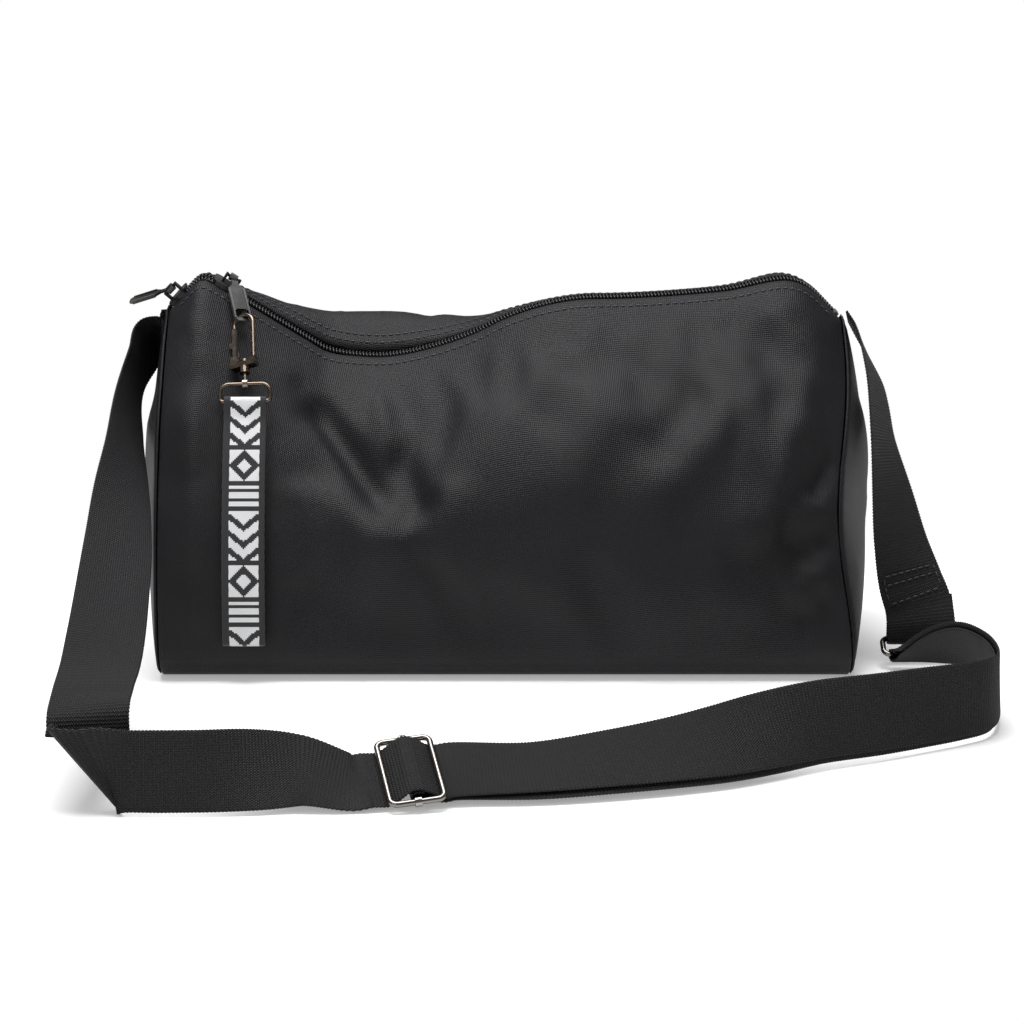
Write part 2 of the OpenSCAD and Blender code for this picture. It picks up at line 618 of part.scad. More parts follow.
// the panel stands out furthest at the tag's left edge, so the tag follows it there
tag_left = swivel_point.x - tag_width / 2;
tag_q = [tag_left, main_slider_at[1] + (tag_left - main_slider_at[0]) * tan(flank_angle), flank_angle];
tag_side = inset(front_line(tag_q), -(tag_clearance + tag_thickness / 2));
function front_line(q) = [for (k = [0 : 24]) bez(front_curve(q), k / 24)];
tag_bar = swivel_point + 2 * ring_half_h * hang_dir(ring_lean, ring_roll);
tag_drop = 7;
tag_path = concat(
    [[tag_bar.y, tag_bar.z]],
    [for (p = tag_side) if (p[1] < tag_bar.z - tag_drop && p[1] > base_radius + 3) p]);
loop_clear = tag_ring_r + 0.4;
module tag_webbing() {
    inner = inset(tag_path, tag_thickness / 2);
    outer = inset(tag_path, -tag_thickness / 2);
    function row(line) = [
        for (p = line) [for (s = [-1, 1]) [tag_bar.x + s * tag_width / 2, p[0], p[1]]]];
    color(tag_grey) difference() {
        union() {
            sheet(row(inner), row(outer));
            translate([tag_bar.x - tag_width / 2, tag_bar.y, tag_bar.z]) rotate([0, 90, 0])
                cylinder(r = loop_clear + 1.3, h = tag_width, $fn = 32);
        }
        translate([tag_bar.x - tag_width, tag_bar.y, tag_bar.z]) rotate([0, 90, 0])
            cylinder(r = loop_clear, h = 2 * tag_width, $fn = 32);
    }
}

// ---------- webbing: each section is [middle, direction across, width factor] ----------

function run_dir(s, k) = unit(s[min(len(s) - 1, k + 1)][0] - s[max(0, k - 1)][0]);
function across(s, k) =
    let (w = unit(s[k][1]), t = run_dir(s, k)) s[k][2] == 1 ? unit(w - (w * t) * t) : w;
function web_row(s, lift) = [
    for (k = [0 : len(s) - 1])
        let (w = across(s, k), n = unit(cross(run_dir(s, k), w)))
        [for (side = [-1, 1]) s[k][0] + side * s[k][2] * strap_width / 2 * w + lift * n]];
module webbing(s)
    color(webbing_black) sheet(web_row(s, -strap_thickness / 2), web_row(s, strap_thickness / 2));

// running gap of the webbing around a bar
wrap_gap = 0.5;

// adjuster frame: u along the strap, w down across it, n out of it
adjuster_at = [-44, -284, 13.5];
adjuster_lean = 66;
adjuster_roll = -12;
module at_adjuster()
    translate(adjuster_at) rotate([-adjuster_lean, 0, 0]) rotate([0, adjuster_roll, 0]) children();
function adj_dir(v) = rot_x(-adjuster_lean, rot_y(adjuster_roll, v));
function adj(u, n) = adjuster_at + adj_dir([u, -n, 0]);
adj_down = adj_dir([0, 0, -1]);
side_bar_u = adjuster_length / 2 - adjuster_wire_r;
side_bar_h = adjuster_height / 2 - adjuster_wire_r;
pass_n = adjuster_wire_r + strap_thickness / 2 + wrap_gap + 0.2;
wrap_r = centre_bar_r + wrap_gap + strap_thickness / 2;
over_n = wrap_r + strap_thickness + 0.45;
layer_gap = strap_thickness + 0.7;

// the hanging ends of both straps keep their place between the floor and the zip
hung_low = 50;
hung_top = 205;
hung_scale = (zip_height - hung_low) / (hung_top - hung_low);
function hung_z(z) = z <= hung_low ? z : hung_low + (z - hung_low) * hung_scale;
function hung(run) = [for (p = run) [[p[0].x, p[0].y, hung_z(p[0].z)], p[1], p[2]]];

// left run: sewn in the end seam, twisting to face forwards, folded at the floor
left_anchor = [left_end[0] - panel_wall - cloth_gap - 1.9, 0, 191];
left_run = hung([
    [left_anchor, [0, 1, 0], 1],
    [[-193.5, -1, 184], [0.1, 1, 0], 1],
    [[-200, -7, 174], [0.35, 0.9, -0.3], 1],
    [[-205.5, -20, 160], [0.12, 0.9, -0.4], 1],
    [[-205.5, -50, 140], [0.28, 0.62, -0.73], 1],
    [[-202, -85, 121], [0.5, 0.48, -0.72], 1],
    [[-200, -115, 105], [0.71, 0.33, -0.62], 1],
    [[-197, -150, 90], [0.83, 0.22, -0.5], 1],
    [[-195, -180, 78], [0.89, 0.18, -0.4], 1],
    [[-193, -215, 64], [0.95, 0.1, -0.3], 1],
    [[-192, -245, 53], [1, 0, -0.1], 1],
    [[-191, -272, 45], [1, 0, 0], 1],
    [[-190, -290, 40], [1, 0, 0], 1],
    [[-190, -297, 34], [1, 0, 0], 1],
    [[-187, -299, 22], [0.6, 0, -0.77], 1.2],
    [[-191, -302.5, 19.5], [0.6, 0, -0.77], 1.2],
    [[-187, -306, 22], [0.6, 0, -0.77], 1.2],
    [[-172, -306, 20.2], [0, -0.15, -1], 1],
    [[-140, -305, 20], [0, -0.2, -0.98], 1],
    [[-115, -299, 18.8], [0.08, -0.45, -0.9], 1],
    [[-94, -291, 16], [0.16, -0.7, -0.68], 1],
    [adj(-27, -2), [0.2, -0.86, -0.45], 1],
    [adj(-20, -2.2), adj_down, 1]]);

// through the adjuster, behind both side bars and over the centre bar
through_adjuster = [
    [adj(-side_bar_u, -pass_n), adj_down, 1],
    [adj(-6, 1.4), adj_down, 1],
    [adj(-2, over_n), adj_down, 1],
    [adj(2, over_n), adj_down, 1],
    [adj(6, 1.8), adj_down, 1],
    [adj(side_bar_u, -pass_n), adj_down, 1],
    [adj(20, -pass_n), adj_down, 1]];

// the doubled run from the adjuster to the strap ring, as the line between its two layers
double_run = [
    [[14, -276, 10.5], [0.12, -0.93, -0.34], 1],
    [[50, -270, 12.8], [0.1, -0.89, -0.44], 1],
    [[80, -263, 15], [0.08, -0.82, -0.56], 1],
    [[102, -257, 17.2], [0.06, -0.72, -0.69], 1],
    [[125, -248, 19.7], [0.03, -0.55, -0.83], 1],
    [[150, -236, 21.3], [0, -0.35, -0.94], 1],
    [[181, -223, 21.3], [0, -0.25, -0.97], 1],
    [[206, -211, 21.3], [0, -0.15, -0.99], 1],
    [[226, -201, 21.3], [0, -0.05, -1], 1],
    [[241, -190, 21.3], [0, 0, -1], 1],
    [[248, -172, 21.3], [0.05, 0, -1], 1],
    [[249, -150, 23.5], [0.2, 0, -1], 1],
    [[246, -128, 24.5], [0.45, 0, -0.9], 1],
    [[241, -108, 21], [0.7, 0, -0.7], 1],
    [[236, -92, 16], [0.9, 0, -0.42], 1],
    [[232, -80, 11.5], [1, 0, -0.15], 1]];
function layer(run, lift, shift) = [
    for (k = [0 : len(run) - 1])
        let (w = across(run, k), n = unit(cross(run_dir(run, k), w)))
        [run[k][0] - lift * n - shift * w, w, 1]];

// the strap ring lies between the short strap and the doubled run
ring_low = [229.5, -64, 8.5];
ring_tip = 32;
ring_up = [0, cos(ring_tip), sin(ring_tip)];
ring_reach = strap_ring_height - 2 * strap_ring_r;
ring_high = ring_low + ring_reach * ring_up;
turn_r = strap_ring_r + wrap_gap + strap_thickness / 2;
function ring_wrap(a) = [ring_low + turn_r * [0, sin(a), cos(a)], [1, 0, 0], 1];
ring_turn = [for (a = [0, 45, 90, 135, 180]) ring_wrap(a)];

bar_wrap = [
    [adj(20, -pass_n - layer_gap), adj_down, 1],
    [adj(side_bar_u, -pass_n - layer_gap), adj_down, 1],
    [adj(6.5, -3.4), adj_down, 1],
    [adj(2.2, -wrap_r - 0.15), adj_down, 1],
    for (a = [270, 225, 180, 135, 90]) [adj(wrap_r * cos(a), wrap_r * sin(a)), adj_down, 1],
    [adj(3.6, wrap_r - 0.2), adj_down, 1]];

module shoulder_strap() webbing(concat(
    left_run, through_adjuster, layer(double_run, layer_gap / 2, 2),
    [[ring_low + [1.5, -8, turn_r + 0.2], [1, 0, -0.05], 1]], ring_turn,
    [[ring_low + [1.5, -8, -turn_r - 0.2 + 1.2], [1, 0, -0.05], 1]],
    reversed(layer(double_run, -layer_gap / 2, -0.5)), bar_wrap));

// ---------- short strap, looped through the strap ring ----------

right_anchor = [right_end[0] + panel_wall + cloth_gap + 3.2, 0, 187];
loop_r = strap_ring_r + wrap_gap + strap_thickness / 2;
function loop_point(a) = ring_high + loop_r * [0, sin(a), cos(a)];
short_run = hung([
    [right_anchor, [0, 1, 0], 1],
    [[195.5, -3, 180], [0, 1, 0], 1],
    [[200, -8, 170], [0.1, 1, 0], 1],
    [[205, -16, 155], [0.27, 0.95, 0], 1],
    [[207, -21, 143], [0.37, 0.93, 0], 1],
    [[209, -29, 123], [0.45, 0.9, 0], 1],
    [[214.5, -38, 90], [0.7, 0.7, 0], 1],
    [[218.5, -45, 66], [0.87, 0.5, 0], 1],
    [[223.5, -50, 46], [0.98, 0.2, 0], 1],
    [[227.5, -53, 34], [1, 0.05, 0], 1],
    [[229, ring_high.y - loop_r, 24], [1, 0, 0], 1],
    for (a = [270, 225, 180, 135, 90]) [loop_point(a), [1, 0, 0], 1],
    [[229, ring_high.y + 0.6, 26], [1, 0, 0], 1],
    [[228, -49.8, 38], [1, 0.05, 0], 1]]);
module short_strap() webbing(short_run);

module strap_ring()
    color(gunmetal) translate((ring_low + ring_high) / 2) rotate([ring_tip - 90, 0, 0])
        wire_frame(strap_ring_width, strap_ring_height, strap_ring_r, corner_r, corner_r);

// a wire frame in its local XZ plane, with its own corner radius at the top and at the bottom
corner_r = 3.5;
module wire_frame(width, height, r, top, low) {
    hw = width / 2 - r;
    hh = height / 2 - r;
    for (side = [[1, top], [-1, low]])
        translate([-hw + side[1], 0, side[0] * hh]) rotate([0, 90, 0])
            cylinder(r = r, h = 2 * (hw - side[1]), $fn = 24);
    for (s = [-1, 1])
        translate([s * hw, 0, -hh + low]) cylinder(r = r, h = 2 * hh - low - top, $fn = 24);
    for (a = [0 : 3])
        let (sx = a == 0 || a == 3 ? 1 : -1, sz = a < 2 ? 1 : -1, c = a < 2 ? top : low)
        translate([sx * (hw - c), 0, sz * (hh - c)]) rotate([90, 0, 0]) rotate([0, 0, 90 * a])
            rotate_extrude(angle = 90, $fn = 48) translate([c, 0]) circle(r = r, $fn = 20);
}

module adjuster_frame()
    color(gunmetal) at_adjuster()
        wire_frame(adjuster_length, adjuster_height, adjuster_wire_r, corner_r, corner_r);

// the centre bar ends in an eye around each short side of the frame
bar_eye_r = adjuster_wire_r + 0.2;
bar_eye_wall = 0.7;
bar_eye_width = 3;
module adjuster_bar()
    color(gunmetal) at_adjuster() difference() {
        union() {
            translate([0, 0, -side_bar_h]) cylinder(r = centre_bar_r, h = 2 * side_bar_h, $fn = 24);
            for (s = [-1, 1])
                translate([-bar_eye_width / 2, 0, s * side_bar_h]) rotate([0, 90, 0])
                    cylinder(r = bar_eye_r + bar_eye_wall, h = bar_eye_width, $fn = 32);
        }
        for (s = [-1, 1])
            translate([-10, 0, s * side_bar_h]) rotate([0, 90, 0]) cylinder(r = bar_eye_r, h = 20, $fn = 32);
    }

main_panel();
end_panel_left();
end_panel_right();
lining();
seam_binding_left();
seam_binding_right();
zip_tape_front();
zip_tape_rear();
zip_coil_front();
zip_coil_rear();
zip_end_stops();
main_slider();
main_puller();
end_slider();
end_puller();
snap_hook();
hook_gate();
gate_pin();
gate_spring();
hook_swivel();
tag_ring();
tag_webbing();
shoulder_strap();
short_strap();
strap_ring();
adjuster_frame();
adjuster_bar();
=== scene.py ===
"""A small black tunnel duffel bag with a snap-hook tag and a long webbing strap.

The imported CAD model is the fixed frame. Metal parts keep their CAD shape and get their finishes here. The cloth,
the zip, the tag and the straps are built here from the same driving sizes, in millimetres, and stand for the CAD
solids of the same names.
"""
import logging
import math
from dataclasses import dataclass, field
from enum import Enum

import bmesh
import bpy
import numpy as np
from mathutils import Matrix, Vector


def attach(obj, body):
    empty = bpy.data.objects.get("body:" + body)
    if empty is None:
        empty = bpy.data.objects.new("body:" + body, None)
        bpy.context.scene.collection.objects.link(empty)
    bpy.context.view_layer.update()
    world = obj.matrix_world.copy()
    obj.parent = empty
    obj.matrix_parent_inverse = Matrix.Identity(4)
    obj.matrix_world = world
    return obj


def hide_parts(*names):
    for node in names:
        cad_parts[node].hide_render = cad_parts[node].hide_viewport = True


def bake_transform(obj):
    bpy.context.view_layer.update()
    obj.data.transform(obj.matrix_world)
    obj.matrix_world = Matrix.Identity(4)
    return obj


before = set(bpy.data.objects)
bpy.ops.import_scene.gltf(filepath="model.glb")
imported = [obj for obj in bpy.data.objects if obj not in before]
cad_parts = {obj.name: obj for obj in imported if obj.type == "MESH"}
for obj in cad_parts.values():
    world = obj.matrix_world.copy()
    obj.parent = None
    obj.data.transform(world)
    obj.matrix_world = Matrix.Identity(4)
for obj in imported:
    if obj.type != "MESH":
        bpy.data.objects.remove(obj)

LOG = logging.getLogger("duffel")
MM = 0.001
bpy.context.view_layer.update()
Array = np.ndarray


# ---------- small maths ----------

def unit(v: Array) -> Array:
    """Returns the vectors along the last axis at length one."""
    v = np.asarray(v, float)
    return v / np.maximum(np.linalg.norm(v, axis=-1, keepdims=True), 1e-9)


def bezier(points: Array, t: Array) -> Array:
    """Evaluates a cubic curve.

    Args:
        points: the four control points, along the second axis from the end.
        t: places from 0 to 1.
    Returns:
        One point for each place, on a new axis before the last one.
    """
    p = np.asarray(points, float)[..., None, :]
    t = np.asarray(t, float)[:, None]
    return (p[..., 0, :, :] * (1 - t) ** 3 + 3 * p[..., 1, :, :] * t * (1 - t) ** 2
            + 3 * p[..., 2, :, :] * t * t * (1 - t) + p[..., 3, :, :] * t ** 3)


def smooth_share(t: Array) -> Array:
    """Returns a soft step from 0 to 1."""
    t = np.clip(t, 0, 1)
    return t * t * (3 - 2 * t)


def resample(points: Array, spacing: float, *others: Array) -> tuple[Array, ...]:
    """Runs a smooth curve through points and samples it evenly.

    Args:
        points: the points of the run, one a row.
        spacing: distance between the samples.
        others: values that go with the points, blended in the same way.
    Returns:
        The samples, then one array for each of the others, then the distance along the run.
    """
    pts = np.asarray(points, float)
    cols = np.hstack([pts] + [np.asarray(o, float).reshape(len(pts), -1) for o in others])
    knots = np.concatenate([[0], np.cumsum(np.sqrt(np.linalg.norm(np.diff(pts, axis=0), axis=1)))])
    padded = np.vstack([2 * cols[0] - cols[1], cols, 2 * cols[-1] - cols[-2]])
    kn = np.concatenate([[knots[0] - (knots[1] - knots[0])], knots, [knots[-1] + knots[-1] - knots[-2]]])
    dense = []
    for i in range(1, len(kn) - 2):
        t = np.linspace(kn[i], kn[i + 1], 24, endpoint=False)[:, None]
        k0, k1, k2, k3 = kn[i - 1:i + 3]
        p0, p1, p2, p3 = padded[i - 1:i + 3]
        a1 = (k1 - t) / (k1 - k0) * p0 + (t - k0) / (k1 - k0) * p1
        a2 = (k2 - t) / (k2 - k1) * p1 + (t - k1) / (k2 - k1) * p2
        a3 = (k3 - t) / (k3 - k2) * p2 + (t - k2) / (k3 - k2) * p3
        b1 = (k2 - t) / (k2 - k0) * a1 + (t - k0) / (k2 - k0) * a2
        b2 = (k3 - t) / (k3 - k1) * a2 + (t - k1) / (k3 - k1) * a3
        dense.append((k2 - t) / (k2 - k1) * b1 + (t - k1) / (k2 - k1) * b2)
    line = np.vstack(dense + [cols[-1:]])
    run = np.concatenate([[0], np.cumsum(np.linalg.norm(np.diff(line[:, :3], axis=0), axis=1))])
    at = np.linspace(0, run[-1], max(2, int(round(run[-1] / spacing)) + 1))
    even = np.stack([np.interp(at, run, line[:, c]) for c in range(line.shape[1])], axis=1)
    out, c = [even[:, :3]], 3
    for o in others:
        width = np.asarray(o, float).reshape(len(pts), -1).shape[1]
        out.append(even[:, c:c + width])
        c += width
    return (*out, at)


# ---------- meshes ----------

def grid_faces(rows: int, cols: int, wrap: bool = False, start: int = 0) -> Array:
    """Returns the quads of a grid of points, row by row, closed round each row if wrap is true."""
    i, j = np.meshgrid(np.arange(rows - 1), np.arange(cols if wrap else cols - 1), indexing="ij")
    k = (j + 1) % cols
    return (start + np.stack([i * cols + j, (i + 1) * cols + j, (i + 1) * cols + k, i * cols + k], -1)).reshape(-1, 4)


class Part:
    """A mesh that is put together from pieces, in millimetres, and made once."""

    def __init__(self, name: str) -> None:
        """Starts an empty part with the name of its object."""
        self.name = name
        self.verts: list[Array] = []
        self.faces: list[Array] = []
        self.lay: list[Array] = []
        self.count = 0

    def add(self, verts: Array, faces: Array, lay: Array | None = None) -> None:
        """Adds a piece.

        Args:
            verts: its points.
            faces: its faces, all with the same number of corners, counted from its own first point.
            lay: two distances for each point, along and across its cloth, in millimetres.
        """
        verts = np.asarray(verts, float).reshape(-1, 3)
        self.verts.append(verts)
        self.faces.append(np.asarray(faces) + self.count)
        self.lay.append(verts[:, :2] * 0 if lay is None else np.asarray(lay, float).reshape(-1, 2))
        self.count += len(verts)

    def make(self, material: bpy.types.Material, body: str, slot: str, replaces: tuple[str, ...] = (),
             bend: tuple | None = None) -> bpy.types.Object:
        """Makes the object, dresses it and lets it ride on a body, or fixes it in the world when bend is given.

        Args:
            material: its finish.
            body: the CAD body that it moves with.
            slot: not used.
            replaces: the CAD nodes that it stands for.
            bend: if given, the object is fixed in the world where it stands and doesn't ride on the body; its values
                are not read.
        Returns:
            The new object.
        """
        mesh = bpy.data.meshes.new(self.name)
        faces = [tuple(int(v) for v in f) for block in self.faces for f in block]
        mesh.from_pydata((np.vstack(self.verts) * MM).tolist(), [], faces)
        lay = np.vstack(self.lay)
        attribute = mesh.attributes.new("lay", "FLOAT_VECTOR", "POINT")
        attribute.data.foreach_set("vector", np.hstack([lay, lay[:, :1] * 0]).astype(np.float32).ravel())
        mesh.polygons.foreach_set("use_smooth", np.ones(len(mesh.polygons), bool))
        mesh.validate()
        work = bmesh.new()
        work.from_mesh(mesh)
        bmesh.ops.recalc_face_normals(work, faces=work.faces)
        work.to_mesh(mesh)
        work.free()
        mesh.materials.append(material)
        obj = bpy.data.objects.new(self.name, mesh)
        bpy.context.scene.collection.objects.link(obj)
        if bend:
            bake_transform(obj)
        else:
            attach(obj, body)
        if replaces:
            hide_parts(*replaces)
        LOG.info("%s: %d points on %s", self.name, self.count, body)
        return obj


def tube(part: Part, line: Array, radius: Array | float, sides: int = 6, capped: bool = True,
         up: Array | None = None, flat: float = 1.0) -> None:
    """Adds a round bar along a line.

    Args:
        part: the part that it goes into.
        line: the points of its middle.
        radius: its radius, one value or one for each point.
        sides: points round it.
        capped: closes its ends.
        up: a direction that lies across the line, one or one for each point.
        flat: its thickness along up, as a share of its width.
    """
    line = np.asarray(line, float)
    n = len(line)
    along = unit(np.gradient(line, axis=0))
    ref = np.array([0.0, 0, 1]) if up is None else np.asarray(up, float)
    ref = np.broadcast_to(ref, line.shape)
    side = unit(np.cross(along, ref))
    top = np.cross(side, along)
    a = np.linspace(0, 2 * np.pi, sides, endpoint=False)
    r = np.broadcast_to(np.asarray(radius, float), (n,))[:, None, None]
    ring = line[:, None] + r * (np.cos(a)[None, :, None] * side[:, None]
                                + flat * np.sin(a)[None, :, None] * top[:, None])
    base = part.count
    part.add(ring, grid_faces(n, sides, wrap=True))
    if capped:
        for first in (0, (n - 1) * sides):
            loop = base + first + np.arange(sides)
            part.faces.append((loop if first else loop[::-1])[None, :])


def both_sides(part: Part, upper: Array, lower: Array, lay: Array) -> None:
    """Adds a closed strip from the points of its two faces.

    Args:
        part: the part that it goes into.
        upper: grid of points on the outer face.
        lower: grid of points on the inner face, of the same size.
        lay: two distances for each point of the grid.
    """
    rows, cols = upper.shape[:2]
    n = rows * cols
    top = grid_faces(rows, cols)
    under = grid_faces(rows, cols)[:, ::-1] + n
    rim = np.concatenate([np.arange(cols), (np.arange(1, rows) * cols + cols - 1),
                          (n - 2 - np.arange(cols - 1)), (np.arange(rows - 2, 0, -1) * cols)])
    nxt = np.roll(rim, -1)
    sides = np.stack([rim, nxt, nxt + n, rim + n], -1)
    part.add(np.concatenate([upper.reshape(-1, 3), lower.reshape(-1, 3)]), np.concatenate([top, under, sides]),
             np.concatenate([lay.reshape(-1, 2), lay.reshape(-1, 2)]))


class Stitching:
    """Sewing thread, one raised stitch after another."""

    def __init__(self, length: float = 3.0, gap: float = 1.1, radius: float = 0.38) -> None:
        """Sets the length of a stitch, the gap to the next one and the thread's radius."""
        self.length, self.gap, self.radius = length, gap, radius

    def sew(self, part: Part, line: Array, normals: Array) -> int:
        """Sews along a line.

        Args:
            part: the part that the stitches go into.
            line: points on the cloth's surface.
            normals: the way out of the cloth at each point.
        Returns:
            The number of stitches.
        """
        line, normals = np.asarray(line, float), np.asarray(normals, float)
        run = np.concatenate([[0], np.cumsum(np.linalg.norm(np.diff(line, axis=0), axis=1))])
        pitch = self.length + self.gap
        count = max(1, int(run[-1] // pitch))
        share = np.array([0.0, 0.12, 0.5, 0.88, 1.0])
        lift = np.array([-0.5, 0.3, 0.75, 0.3, -0.5]) * self.radius
        thick = np.array([0.35, 0.9, 1.0, 0.9, 0.35]) * self.radius
        for k in range(count):
            at = (k + 0.5 * (run[-1] / pitch - count)) * pitch + share * self.length
            p = np.stack([np.interp(at, run, line[:, c]) for c in range(3)], 1)
            n = unit(np.stack([np.interp(at, run, normals[:, c]) for c in range(3)], 1))
            tube(part, p + lift[:, None] * n, thick, 6, up=n)
        return count


# ---------- finishes ----------

def linear(hex_colour: str) -> tuple[float, float, float, float]:
    """Turns an sRGB hex colour into the linear values that a shader takes."""
    parts = [int(hex_colour.lstrip("#")[i:i + 2], 16) / 255 for i in (0, 2, 4)]
    return (*[c / 12.92 if c <= 0.04045 else ((c + 0.055) / 1.055) ** 2.4 for c in parts], 1.0)


def node(tree: bpy.types.NodeTree, kind: str, inputs: dict | None = None, **settings: object) -> bpy.types.Node:
    """Adds a node.

    Args:
        tree: the material's node tree.
        kind: the node's type name, without its ShaderNode prefix.
        inputs: socket name or number to a value or to another node's output socket.
        settings: the node's own properties.
    Returns:
        The new node.
    """
    made = tree.nodes.new("ShaderNode" + kind)
    for key, value in settings.items():
        setattr(made, key, value)
    for key, value in (inputs or {}).items():
        if isinstance(value, bpy.types.NodeSocket):
            tree.links.new(value, made.inputs[key])
        else:
            made.inputs[key].default_value = value
    return made


@dataclass(frozen=True)
class Finish:
    """The values that every finish has."""

    name: str
    colour: str
    roughness: float
    ior: float = 1.5
    metallic: float = 0.0
    sheen: float = 0.0
    sheen_roughness: float = 0.5
    sheen_colour: str = "#ffffff"
    coat: float = 0.0
    specular: float = 0.5

    def start(self) -> tuple[bpy.types.Material, bpy.types.NodeTree, bpy.types.Node]:
        """Returns a new material, its tree and its shader, with the plain values set."""
        material = bpy.data.materials.new(self.name)
        material.use_nodes = True
        tree = material.node_tree
        shader = tree.nodes["Principled BSDF"]
        values = {"Base Color": linear(self.colour), "Roughness": self.roughness, "IOR": self.ior,
                  "Metallic": self.metallic, "Sheen Weight": self.sheen, "Sheen Roughness": self.sheen_roughness,
                  "Sheen Tint": linear(self.sheen_colour), "Coat Weight": self.coat,
                  "Specular IOR Level": self.specular}
        for key, value in values.items():
            shader.inputs[key].default_value = value
        return material, tree, shader


class Weave(Enum):
    """How a cloth's threads cross."""

    OXFORD = "oxford"
    RIBBED = "ribbed"
    PLAIN = "plain"


@dataclass(frozen=True)
class Cloth(Finish):
    """A woven cloth: threads in relief, a painted highlight that makes their crowns a little lighter, and uneven
    dyeing.
    """

    # the lighter colour, used for the dye's lighter patches and for the painted highlight on the threads' crowns
    light: str = "#303034"
    weave: Weave = Weave.OXFORD
    thread: float = 1.0
    relief: float = 0.12
    mottle: float = 0.35

    def make(self) -> bpy.types.Material:
        """Returns the finished material."""
        material, tree, shader = self.start()
        lay = node(tree, "Attribute", attribute_name="lay").outputs["Vector"]
        if self.weave is Weave.OXFORD:
            # the threads lie on the diagonal, as an oxford cloth's pairs of threads show
            lay = node(tree, "Mapping", {"Vector": lay, "Rotation": (0, 0, math.radians(38))}).outputs[0]
        split = node(tree, "SeparateXYZ", {0: lay})
        waves = []
        for k, pitch in ((0, self.thread), (1, self.thread * (1.0 if self.weave is not Weave.RIBBED else 0.7))):
            turn = node(tree, "Math", {0: split.outputs[k], 1: 2 * math.pi / pitch}, operation="MULTIPLY")
            waves.append(node(tree, "Math", {0: turn.outputs[0]}, operation="SINE").outputs[0])
        cross = node(tree, "Math", {0: waves[0], 1: waves[1]}, operation="MULTIPLY").outputs[0]
        if self.weave is Weave.RIBBED:
            cross = node(tree, "Math", {0: waves[0], 1: 0.35, 2: cross}, operation="MULTIPLY_ADD").outputs[0]
        # slubs: thread thickness varies over a few millimetres
        slub = node(tree, "TexNoise", {"Vector": lay, "Scale": 0.9, "Detail": 4.0, "Roughness": 0.7})
        height = node(tree, "Math", {0: slub.outputs[0], 1: 0.8, 2: cross}, operation="MULTIPLY_ADD")
        bump = node(tree, "Bump", {"Height": height.outputs[0], "Strength": 0.8, "Distance": self.relief * MM})
        tree.links.new(bump.outputs[0], shader.inputs["Normal"])
        # dye and handling: broad soft patches
        place = node(tree, "TexCoord").outputs["Object"]
        patch = node(tree, "TexNoise", {"Vector": place, "Scale": 14.0, "Detail": 3.0, "Roughness": 0.55})
        tone = node(tree, "Math", {0: patch.outputs[0], 1: self.mottle, 2: 0.5 - self.mottle / 2},
                    operation="MULTIPLY_ADD")
        # painted highlight: the threads' crowns are mixed towards the lighter colour, over the dye's patches
        crown = node(tree, "Math", {0: cross, 1: 0.34, 2: tone.outputs[0]}, operation="MULTIPLY_ADD", use_clamp=True)
        colour = node(tree, "Mix", {"Factor": crown.outputs[0], 6: linear(self.colour), 7: linear(self.light)},
                      data_type="RGBA")
        tree.links.new(colour.outputs[2], shader.inputs["Base Color"])
        rough = node(tree, "MapRange", {0: height.outputs[0], 1: -1.0, 2: 1.6, 3: self.roughness + 0.08,
                                        4: self.roughness - 0.08})
        tree.links.new(rough.outputs[0], shader.inputs["Roughness"])
        return material


@dataclass(frozen=True)
class Metal(Finish):
    """A plated or enamelled zinc casting: fine pits, soft smears and a bright highlight painted on its edges."""

    # a lighter colour, and how much of it is painted on the edges as a highlight
    edge_highlight_colour: str = "#8d8a86"
    edge_highlight_share: float = 0.5
    grain: float = 900.0

    def make(self) -> bpy.types.Material:
        """Returns the finished material."""
        material, tree, shader = self.start()
        place = node(tree, "TexCoord").outputs["Object"]
        smear = node(tree, "TexNoise", {"Vector": place, "Scale": self.grain * 0.25, "Detail": 5.0})
        pits = node(tree, "TexNoise", {"Vector": place, "Scale": self.grain * 2, "Detail": 2.0})
        rough = node(tree, "MapRange", {0: smear.outputs[0], 1: 0.3, 2: 0.7, 3: self.roughness - 0.07,
                                        4: self.roughness + 0.1})
        tree.links.new(rough.outputs[0], shader.inputs["Roughness"])
        # edges: where the surface turns sharply a bright highlight is painted into the colour, broken up by the
        # smears
        point = node(tree, "NewGeometry").outputs["Pointiness"]
        edge = node(tree, "MapRange", {0: point, 1: 0.56, 2: 0.68, 3: 0.0, 4: self.edge_highlight_share})
        edge_highlight_mask = node(tree, "Math", {0: edge.outputs[0], 1: smear.outputs[0]}, operation="MULTIPLY", use_clamp=True)
        colour = node(tree, "Mix", {"Factor": edge_highlight_mask.outputs[0], 6: linear(self.colour), 7: linear(self.edge_highlight_colour)},
                      data_type="RGBA")
        tree.links.new(colour.outputs[2], shader.inputs["Base Color"])
        bump = node(tree, "Bump", {"Height": pits.outputs[0], "Strength": 0.12, "Distance": 0.03 * MM})
        tree.links.new(bump.outputs[0], shader.inputs["Normal"])
        return material


@dataclass(frozen=True)
class Plastic(Finish):
    """Drawn nylon monofilament: smooth, with faint draw lines."""

    def make(self) -> bpy.types.Material:
        """Returns the finished material."""
        material, tree, shader = self.start()
        place = node(tree, "TexCoord").outputs["Object"]
        haze = node(tree, "TexNoise", {"Vector": place, "Scale": 300.0, "Detail": 3.0})
        rough = node(tree, "MapRange", {0: haze.outputs[0], 3: self.roughness - 0.06, 4: self.roughness + 0.1})
        tree.links.new(rough.outputs[0], shader.inputs["Roughness"])
        bump = node(tree, "Bump", {"Height": haze.outputs[0], "Strength": 0.2, "Distance": 0.04 * MM})
        tree.links.new(bump.outputs[0], shader.inputs["Normal"])
        return material


